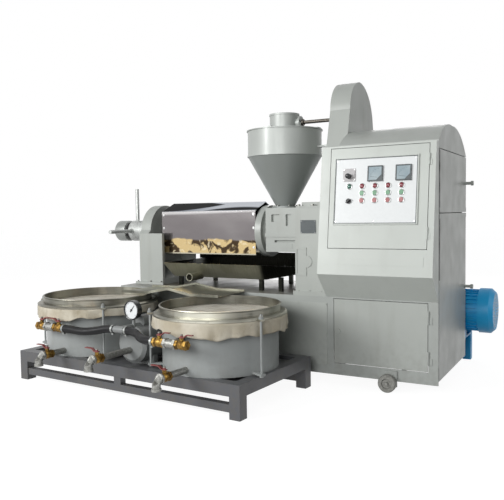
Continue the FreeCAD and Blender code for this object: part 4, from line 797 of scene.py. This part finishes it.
def make_panel():
    """White plate with its trim, lamps, bezels, meters and switch plate."""
    plate = bmesh.new()
    slab(plate, (0.590, -0.003, 0.272), (1.031, 0.0, 0.618), panel_place, 0.0006)
    shown = piece("panel_plate", plate, panel_white, "panel_door")
    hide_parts("control_plate")
    trim = bmesh.new()
    border(trim, (0.583, 0.265), (1.038, 0.625), (-0.0070, 0.0), 0.007, panel_place, 0.0012)
    piece("panel_trim", trim, box_paint, "panel_door")
    # Dark gasket strip round the plate, also standing in for painted shade in the gap between trim and
    # plate.
    gasket_and_shade = bmesh.new()
    border(gasket_and_shade, (0.5895, 0.2715), (1.0315, 0.6185), (-0.0045, -0.0028), 0.0045, panel_place)
    piece("panel_gasket_and_shade", gasket_and_shade, bezel_grey, "panel_door")
    columns = (0.742, 0.812, 0.882, 0.952)
    lamp_row = 0.469
    main_lamp = 0.6715
    rings = bmesh.new()
    ring_profile = [(0.0124, 0.003), (0.0160, 0.003), (0.0160, 0.0065), (0.0148, 0.0086),
                    (0.0132, 0.0090), (0.0124, 0.0080)]
    for x, z in crossed(columns, (lamp_row, 0.432, 0.393)) + [(main_lamp, lamp_row)]:
        lathe(rings, ring_profile, panel_spot(x, z), 32)
    piece("panel_bezels", rings, bright_steel, "panel_door")
    dome = [(0.0, 0.0030), (0.0123, 0.0030), (0.0123, 0.0092), (0.0117, 0.0112), (0.0100, 0.0130),
            (0.0070, 0.0143), (0.0035, 0.0150), (0.0, 0.0151)]
    lamps = (("lamps_red", columns, lamp_red), ("lamp_green", (main_lamp,), lamp_green))
    for name, places, finish in lamps:
        domes = bmesh.new()
        for x in places:
            lathe(domes, dome, panel_spot(x, lamp_row), 32)
        piece(name, domes, finish, "panel_door")
    make_meter(1, 0.811, 0.533)
    make_meter(2, 0.960, 0.5325)
    switch = bmesh.new()
    slab(switch, (0.6335, -0.0070, 0.4950), (0.7035, -0.003, 0.5650), panel_place, 0.0015)
    slab(switch, (0.6400, -0.0085, 0.5015), (0.6970, -0.0069, 0.5585), panel_place, 0.0007)
    piece("switch_plate", switch, switch_grey, "panel_door")
    collar = bmesh.new()
    lathe(collar, [(0.0042, 0.007), (0.0135, 0.007), (0.0135, 0.010), (0.0100, 0.0125), (0.0042, 0.0125)],
          panel_spot(0.6685, 0.5220), 32)
    piece("switch_collar", collar, black_plastic, "panel_door")


def make_meter(index, x, z):
    """Square panel meter: a dark frame, a pale glass with its corner cut off, a scale arc and a needle."""
    half = 0.041
    low = (x - half, z - half)
    high = (x + half, z + half)
    case = bmesh.new()
    slab(case, (low[0], -0.0095, low[1]), (high[0], -0.003, high[1]), panel_place, 0.002)
    border(case, low, high, (-0.0120, -0.0094), 0.007, panel_place, 0.0006)
    piece("meter_frame_%d" % index, case, bezel_grey, "panel_door")
    pane = bmesh.new()
    edge = half - 0.0068
    cut = 0.028
    outline = [(-edge, -edge), (edge - cut, -edge), (edge, cut - edge), (edge, edge), (-edge, edge)]
    spot = panel_spot(x, z)
    prism(pane, outline, 0.0094, 0.0106, spot)
    piece("meter_pane_%d" % index, pane, glass, "panel_door")
    marks = bmesh.new()
    pivot = spot @ Matrix.Translation((edge - 0.012, 0.012 - edge, 0.0))
    spaces = 12
    for step in range(spaces + 1):
        angle = math.radians(96 + step * 78 / spaces)
        reach = 0.047 if step % 3 else 0.044
        tick = pivot @ Matrix.Rotation(angle, 4, "Z")
        slab(marks, (reach, -0.0004, 0.0104), (0.050, 0.0004, 0.0108), tick)
    arm = pivot @ Matrix.Rotation(math.radians(172), 4, "Z")
    slab(marks, (0.010, -0.0005, 0.0104), (0.045, 0.0005, 0.0109), arm)
    piece("meter_marks_%d" % index, marks, black_plastic, "panel_door")


make_panel()


# Vacuum pipework: brass ball valves, galvanised tees and elbows
def station_spot(x, y, z, direction=None):
    """Place in the station, with its Z turned to a direction where one is given."""
    place = station_place @ Matrix.Translation((x, y, z))
    return place @ looking(direction) if direction else place


def add_valve(shape, place, upright):
    """Ball valve 66 mm long: hexagon ends, round belly and the stem's gland on top."""
    end = 0.014
    for low in (0.0, valve_length - end):
        prism(shape, six_sided(0.0240), low, low + end, place)
    belly = [(0.0, 0.013), (0.0190, 0.013), (0.0205, 0.018), (0.0225, 0.024), (0.0230, 0.033),
             (0.0225, 0.042), (0.0205, 0.048), (0.0190, 0.053), (0.0, 0.053)]
    lathe(shape, belly, place, 28)
    lathe(shape, [(0.0, 0.0), (0.0100, 0.0), (0.0100, 0.0285), (0.0, 0.0285)], upright, 20)
    prism(shape, six_sided(0.0110), 0.0275, 0.0340, upright)


def add_elbow(shape, x, y, z, drop):
    """Malleable elbow that turns a run along -Y downwards, with beads at both mouths."""
    outer = 0.0205
    bend = 0.022
    steps = 8
    segments = 20
    rings = []
    for step in range(steps + 1):
        angle = math.radians(90 * step / steps)
        centre = Vector((x, y + bend - bend * math.sin(angle), z - bend + bend * math.cos(angle)))
        down = Vector((0, -math.sin(angle), -math.cos(angle)))
        ring = []
        for part in range(segments):
            around = round_point(outer, full_turn * part / segments)
            corner = centre + Vector((around.x, 0, 0)) + down * around.y
            ring.append(shape.verts.new(station_place @ corner))
        rings.append(ring)
    skin(shape, rings)
    bead = [(0.0, 0.0), (outer, 0.0), (0.0245, 0.001), (0.0245, 0.011), (0.0190, 0.013), (0.0, 0.013)]
    lathe(shape, bead, station_spot(x, y + bend, z, to_back), 24)
    low = drop - bend
    mouth = [(outer, 0.0), (outer, low - 0.013), (0.0240, low - 0.012), (0.0240, low), (0.0150, low),
             (0.0140, 0.004), (0.0, 0.004), (0.0, 0.0)]
    lathe(shape, mouth, station_spot(x, y, z - bend, downwards), 24)


def add_pipe(shape, place, radius, length):
    lathe(shape, [(0.0, 0.0), (radius, 0.0), (radius, length), (0.0, length)], place, 28)


def make_pipework():
    """Each drum's tee between two valves, and the three drains with their elbows."""
    metal = bmesh.new()
    iron = bmesh.new()
    tee_half = 0.036
    collar = 0.014
    tees = ((drum_centres[0].x, -0.037, 0.342, 0.040), (drum_centres[1].x - 0.004, -0.086, 0.346, 0.020))
    for x, y, z, wall in tees:
        tee = station_spot(x - tee_half, y, z, to_right)
        add_pipe(iron, tee, 0.0215, 2 * tee_half)
        for low in (0.0, 2 * tee_half - collar):
            prism(iron, six_sided(0.0262), low, low + collar, tee)
        add_pipe(iron, station_spot(x, y, z, to_back), pipe_radius, wall - y)
        for start in (x - tee_half - valve_length, x + tee_half):
            upright = station_spot(start + valve_length / 2, y, z)
            add_valve(metal, station_spot(start, y, z, to_right), upright)
    drains = ((-1.215, -0.150, 0.200, 0.048), (-0.758, -0.214, 0.240, 0.081),
              (-0.322, -0.206, 0.200, 0.024))
    for x, tip, z, wall in drains:
        start = tip + 0.026
        add_elbow(iron, x, tip, z, 0.052)
        end = start + valve_length
        add_pipe(iron, station_spot(x, end, z, to_back), pipe_radius, wall - end)
        upright = station_spot(x, start + valve_length / 2, z)
        add_valve(metal, station_spot(x, start, z, to_back), upright)
    valves = piece("brass_valves", metal, brass, "press")
    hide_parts("valve_bodies")
    piece("iron_fittings", iron, zinc, "press")


make_pipework()


def make_hose_clamps():
    """Worm-drive clamps on both ends of each hose."""
    bands = bmesh.new()
    start = 0.005
    end = 0.017
    band = [(0.0211, start), (0.0222, start), (0.0222, end), (0.0211, end)]
    for name in ("hose_left", "hose_right"):
        route = hose_route(name)
        for point, heading in ((route[0], to_right), (route[-1], to_left)):
            place = station_spot(*point, heading)
            lathe(bands, band, place, 36)
            worm = place @ Matrix.Translation((0.0, -0.0255, (start + end) / 2))
            slab(bands, (-0.009, -0.0045, -0.006), (0.009, 0.0038, 0.006), worm, 0.001)
    piece("hose_clamps", bands, hub_steel, "press")


make_hose_clamps()


# Vacuum gauge
def make_gauge():
    """Dial, ticks and black case of the gauge, around the needle's axis."""
    spot = station_spot(-0.742, 0.0, 0.455, to_front)
    disc = bmesh.new()
    lathe(disc, [(0.0022, -0.0820), (0.0455, -0.0820), (0.0455, -0.0812), (0.0022, -0.0812)], spot, 48)
    piece("gauge_dial", disc, dial_white, "press")
    marks = bmesh.new()
    spaces = 40
    for step in range(spaces + 1):
        tick = spot @ Matrix.Rotation(math.radians(-45 + step * 270 / spaces), 4, "Z")
        inner, width = (0.036, 0.0007) if step % 5 == 0 else (0.039, 0.0004)
        slab(marks, (inner, -width, -0.0813), (0.0425, width, -0.0808), tick)
    piece("gauge_ticks", marks, black_plastic, "press")
    case = bmesh.new()
    wall = [(0.0462, -0.0770), (0.0462, -0.0756), (0.0490, -0.0748), (0.0508, -0.0762),
            (0.0508, -0.1090), (0.0502, -0.1090), (0.0500, -0.0775)]
    lathe(case, wall, spot, 56)
    piece("gauge_case", case, black_plastic, "press")


make_gauge()


# Filter cloths: a round cut laid over the sieve, clamped under the pan and hanging outside
def drawn_waves(rng, bands):
    """Waves round a cloth as (count, phase, size), with drawn counts and phases."""
    return [(rng.randint(least, most), rng.uniform(0, 6.28), size) for least, most, size in bands]


def wave_height(waves, angle):
    return sum(size * math.sin(count * angle + phase) for count, phase, size in waves)


def drape_cloth(name, solid, centre, seed, longest, long_side):
    """Cloth over one drum; its hem drops by longest, and further towards its long side."""
    rng = random.Random(seed)
    folds = drawn_waves(rng, ((9, 15, 1.0), (21, 31, 0.55), (44, 60, 0.25)))
    hem_waves = drawn_waves(rng, ((2, 4, 0.006), (7, 12, 0.005), (18, 28, 0.003)))
    around = 360
    angles = [full_turn * step / around for step in range(around)]
    drum_top = 0.44
    inner = [(0.06, 0.4396), (0.12, 0.4397), (0.18, 0.4396), (0.24, 0.4398), (0.285, 0.4402),
             (0.306, 0.4409), (0.325, 0.4411), (0.345, 0.4411), (0.3505, 0.4404)]
    shape = bmesh.new()
    uv = shape.loops.layers.uv.new("UVMap")
    middle = shape.verts.new((centre.x, centre.y, 0.4398))
    rings = []
    for radius, height in inner:
        ring = []
        for angle in angles:
            ripple = 0.0006 * math.sin(5 * angle + 20 * radius) if radius < 0.3 else 0.0
            ring.append(shape.verts.new(centre + round_point(radius, angle, height + ripple)))
        rings.append(ring)
    for share in (0.09, 0.18, 0.29, 0.41, 0.53, 0.66, 0.79, 0.90, 1.0):
        ring = []
        for angle in angles:
            radius = 0.3530 + 0.0020 * share + 0.0040 * share * wave_height(folds, angle)
            longer = 1.0 + 0.22 * math.cos(angle - long_side)
            height = 0.4395 - longest * share * longer + wave_height(hem_waves, angle) * share
            ring.append(shape.verts.new(centre + round_point(radius, angle, height)))
        rings.append(ring)
    for step in range(around):
        shape.faces.new([middle, rings[0][step], rings[0][(step + 1) % around]])
    for lower, upper in zip(rings, rings[1:]):
        for step in range(around):
            following = (step + 1) % around
            shape.faces.new([lower[step], upper[step], upper[following], lower[following]])
    for face in shape.faces:
        for loop in face.loops:
            flat = loop.vert.co - centre
            spread = 1.0 + max(0.0, drum_top - flat.z) * 2.6
            loop[uv].uv = (flat.x * spread, flat.y * spread)
    cloth = piece(name, shape, cotton, "press", station_place, 75.0)
    thick = cloth.modifiers.new("thickness", "SOLIDIFY")
    thick.thickness = 0.0009
    thick.offset = -1.0
    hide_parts(solid)


drape_cloth("cotton_left", "filter_cloth_left", drum_centres[0], 17, 0.052, math.radians(-150))
drape_cloth("cotton_right", "filter_cloth_right", drum_centres[1], 18, 0.060, math.radians(-25))


# Nuts on the tie rods, and zinc nuts on the levers' stems
def make_rod_nuts():
    """Hexagon nuts on the three tie rods of each drum."""
    nuts = bmesh.new()
    for centre, first in zip(drum_centres, (-40.0, -22.0)):
        for angle in (first, first + 120.0, first + 240.0):
            spot = centre + round_point(0.367, math.radians(angle), 0.463)
            turn = Matrix.Rotation(math.radians(angle + 35), 4, "Z")
            place = station_place @ Matrix.Translation(spot) @ turn
            prism(nuts, six_sided(0.0105), 0.0, 0.0065, place)
    piece("rod_nuts", nuts, zinc, "press")


make_rod_nuts()

lever_places = {
    "lever_left_a": (-1.318, -0.037, 0.342), "lever_left_b": (-1.180, -0.037, 0.342),
    "lever_right_a": (-0.403, -0.086, 0.346), "lever_right_b": (-0.265, -0.086, 0.346),
    "lever_drain_left": (-1.215, -0.091, 0.200), "lever_drain_tank": (-0.758, -0.155, 0.240),
    "lever_drain_right": (-0.322, -0.147, 0.200),
}
for lever_name, (x, y, z) in lever_places.items():
    fasten(lever_name + "_nut", [(x, y, z + lever_stem_top)], upwards, zinc, lever_name,
           (0.0072, 0.004, 0.0078), 6, station_place)


# Openings of the motor's fan cowl, drawn as painted shade
def make_motor_details():
    """Rings of black bars on the cowl's end: painted shade standing in for its openings."""
    slot_shade = bmesh.new()
    cowl_end = 1.2725
    centre = Matrix.Translation((cowl_end, 0.8592, 0.336)) @ looking(to_right)
    for ring, count in ((0.030, 10), (0.050, 16), (0.070, 22), (0.090, 28)):
        for step in range(count):
            place = centre @ Matrix.Rotation(full_turn * step / count, 4, "Z")
            slab(slot_shade, (ring, -0.0034, -0.0008), (ring + 0.013, 0.0034, 0.0004), place)
    piece("motor_cowl_slot_shade", slot_shade, black_plastic, "press")


make_motor_details()


# Rubber band in the adjusting hub's groove, bright wear on its end and plating on its bars
def make_hub_details():
    place = Matrix.Translation((hub_end, screw_line.y, screw_line.z)) @ looking(to_right)
    band = bmesh.new()
    band_wall = [(0.0581, 0.101), (0.0600, 0.101), (0.0640, 0.106), (0.0640, 0.125), (0.0600, 0.130),
                 (0.0581, 0.130)]
    lathe(band, band_wall, place, 56)
    piece("hub_seal", band, belt_rubber, "adjuster_hub")
    sleeve = bmesh.new()
    sleeve_wall = [(0.0600, 0.0120), (0.0731, 0.0120), (0.0734, 0.014), (0.0734, 0.092),
                   (0.0728, 0.0955), (0.0600, 0.0955)]
    lathe(sleeve, sleeve_wall, place, 56)
    piece("hub_wear_sleeve", sleeve, hub_steel, "adjuster_hub")
    bars = bmesh.new()
    bar_wall = [(0.0, 0.078), (0.01315, 0.078), (0.01315, 0.2965), (0.0120, 0.2995), (0.0, 0.3002)]
    for direction in (upwards, to_front):
        spot = Matrix.Translation((hub_end + 0.165, screw_line.y, screw_line.z)) @ looking(direction)
        lathe(bars, bar_wall, spot, 28)
    piece("tommy_bar_plating", bars, bar_steel, "adjuster_hub")


make_hub_details()


# Bare plate on the gearbox
def make_gearbox_plate():
    plate = bmesh.new()
    slab(plate, (0.3455, 0.0172, 0.8415), (0.4405, 0.0182, 0.9165), unturned, 0.0004)
    piece("name_plate", plate, bezel_grey, "press")


make_gearbox_plate()


# Dark seals in the gap between the cabinet's front and its side doors
def make_door_seals():
    for name, body, low, high in (("upper_door_seal", "side_door_upper", 0.952, 1.268),
                                  ("lower_door_seal", "side_door_lower", 0.600, 0.938)):
        low_corner, high_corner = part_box(body)
        strip = bmesh.new()
        front = low_corner[1] + 0.0015
        outside = high_corner[0] - 0.046
        slab(strip, (outside - 0.0005, front, low), (outside + 0.0012, front + 0.020, high), unturned)
        piece(name, strip, belt_rubber, body)


make_door_seals()


# Studio: pale floor, even light from the front left
def seen_rays(tree):
    """1 on rays from the camera and on those that mirrors and glass pass on."""
    path = tree.nodes.new("ShaderNodeLightPath")
    total = path.outputs["Is Camera Ray"]
    for name in ("Is Glossy Ray", "Is Transmission Ray"):
        larger = tree.nodes.new("ShaderNodeMath")
        larger.operation = "MAXIMUM"
        tree.links.new(total, larger.inputs[0])
        tree.links.new(path.outputs[name], larger.inputs[1])
        total = larger.outputs[0]
    return total


def make_floor():
    """Pale floor that looks white and still keeps the object's shadow."""
    floor_mesh = bpy.data.meshes.new("studio_floor")
    size = 30.0
    corners = [(-size, -size, 0), (size, -size, 0), (size, size, 0), (-size, size, 0)]
    floor_mesh.from_pydata(corners, [], [(0, 1, 2, 3)])
    floor = add_object("studio_floor", floor_mesh)
    material = bpy.data.materials.new("studio_white")
    material.use_nodes = True
    tree = material.node_tree
    shader = tree.nodes["Principled BSDF"]
    shader.inputs["Base Color"].default_value = (0.15, 0.15, 0.15, 1.0)
    shader.inputs["Roughness"].default_value = 0.9
    shader.inputs["Specular IOR Level"].default_value = 0.1
    strength = tree.nodes.new("ShaderNodeMath")
    strength.operation = "MULTIPLY"
    strength.inputs[1].default_value = 0.93
    tree.links.new(seen_rays(tree), strength.inputs[0])
    shader.inputs["Emission Color"].default_value = (1.0, 1.0, 1.0, 1.0)
    tree.links.new(strength.outputs[0], shader.inputs["Emission Strength"])
    floor_mesh.materials.append(material)


def make_world():
    """Faint even light, white where it is looked at."""
    world = bpy.data.worlds.new("studio")
    world.use_nodes = True
    bpy.context.scene.world = world
    tree = world.node_tree
    even = tree.nodes["Background"]
    even.inputs["Color"].default_value = (0.90, 0.92, 0.95, 1.0)
    even.inputs["Strength"].default_value = 0.17
    bright = tree.nodes.new("ShaderNodeBackground")
    bright.inputs["Color"].default_value = (1.0, 1.0, 1.0, 1.0)
    bright.inputs["Strength"].default_value = 1.0
    choose = tree.nodes.new("ShaderNodeMixShader")
    tree.links.new(seen_rays(tree), choose.inputs[0])
    tree.links.new(even.outputs[0], choose.inputs[1])
    tree.links.new(bright.outputs[0], choose.inputs[2])
    tree.links.new(choose.outputs[0], tree.nodes["World Output"].inputs["Surface"])


def hang_lamps():
    """Square lamps, each aimed at the press's middle."""
    lamps = (("key", (-2.8, -4.8, 2.5), 2.2, 230.0), ("front", (1.2, -5.4, 1.9), 2.4, 120.0),
             ("right", (5.0, 0.8, 2.2), 2.4, 34.0), ("back", (-1.5, 5.2, 2.6), 2.6, 60.0))
    for name, spot, size, power in lamps:
        data = bpy.data.lights.new(name, "AREA")
        data.shape = "SQUARE"
        data.size = size
        data.energy = power
        lamp = add_object(name, data)
        aim = Vector((0.0, 0.0, 0.6)) - Vector(spot)
        lamp.rotation_euler = aim.to_track_quat("-Z", "Y").to_euler()
        lamp.location = spot


make_floor()
make_world()
hang_lamps()
bpy.context.scene.view_settings.view_transform = "Standard"
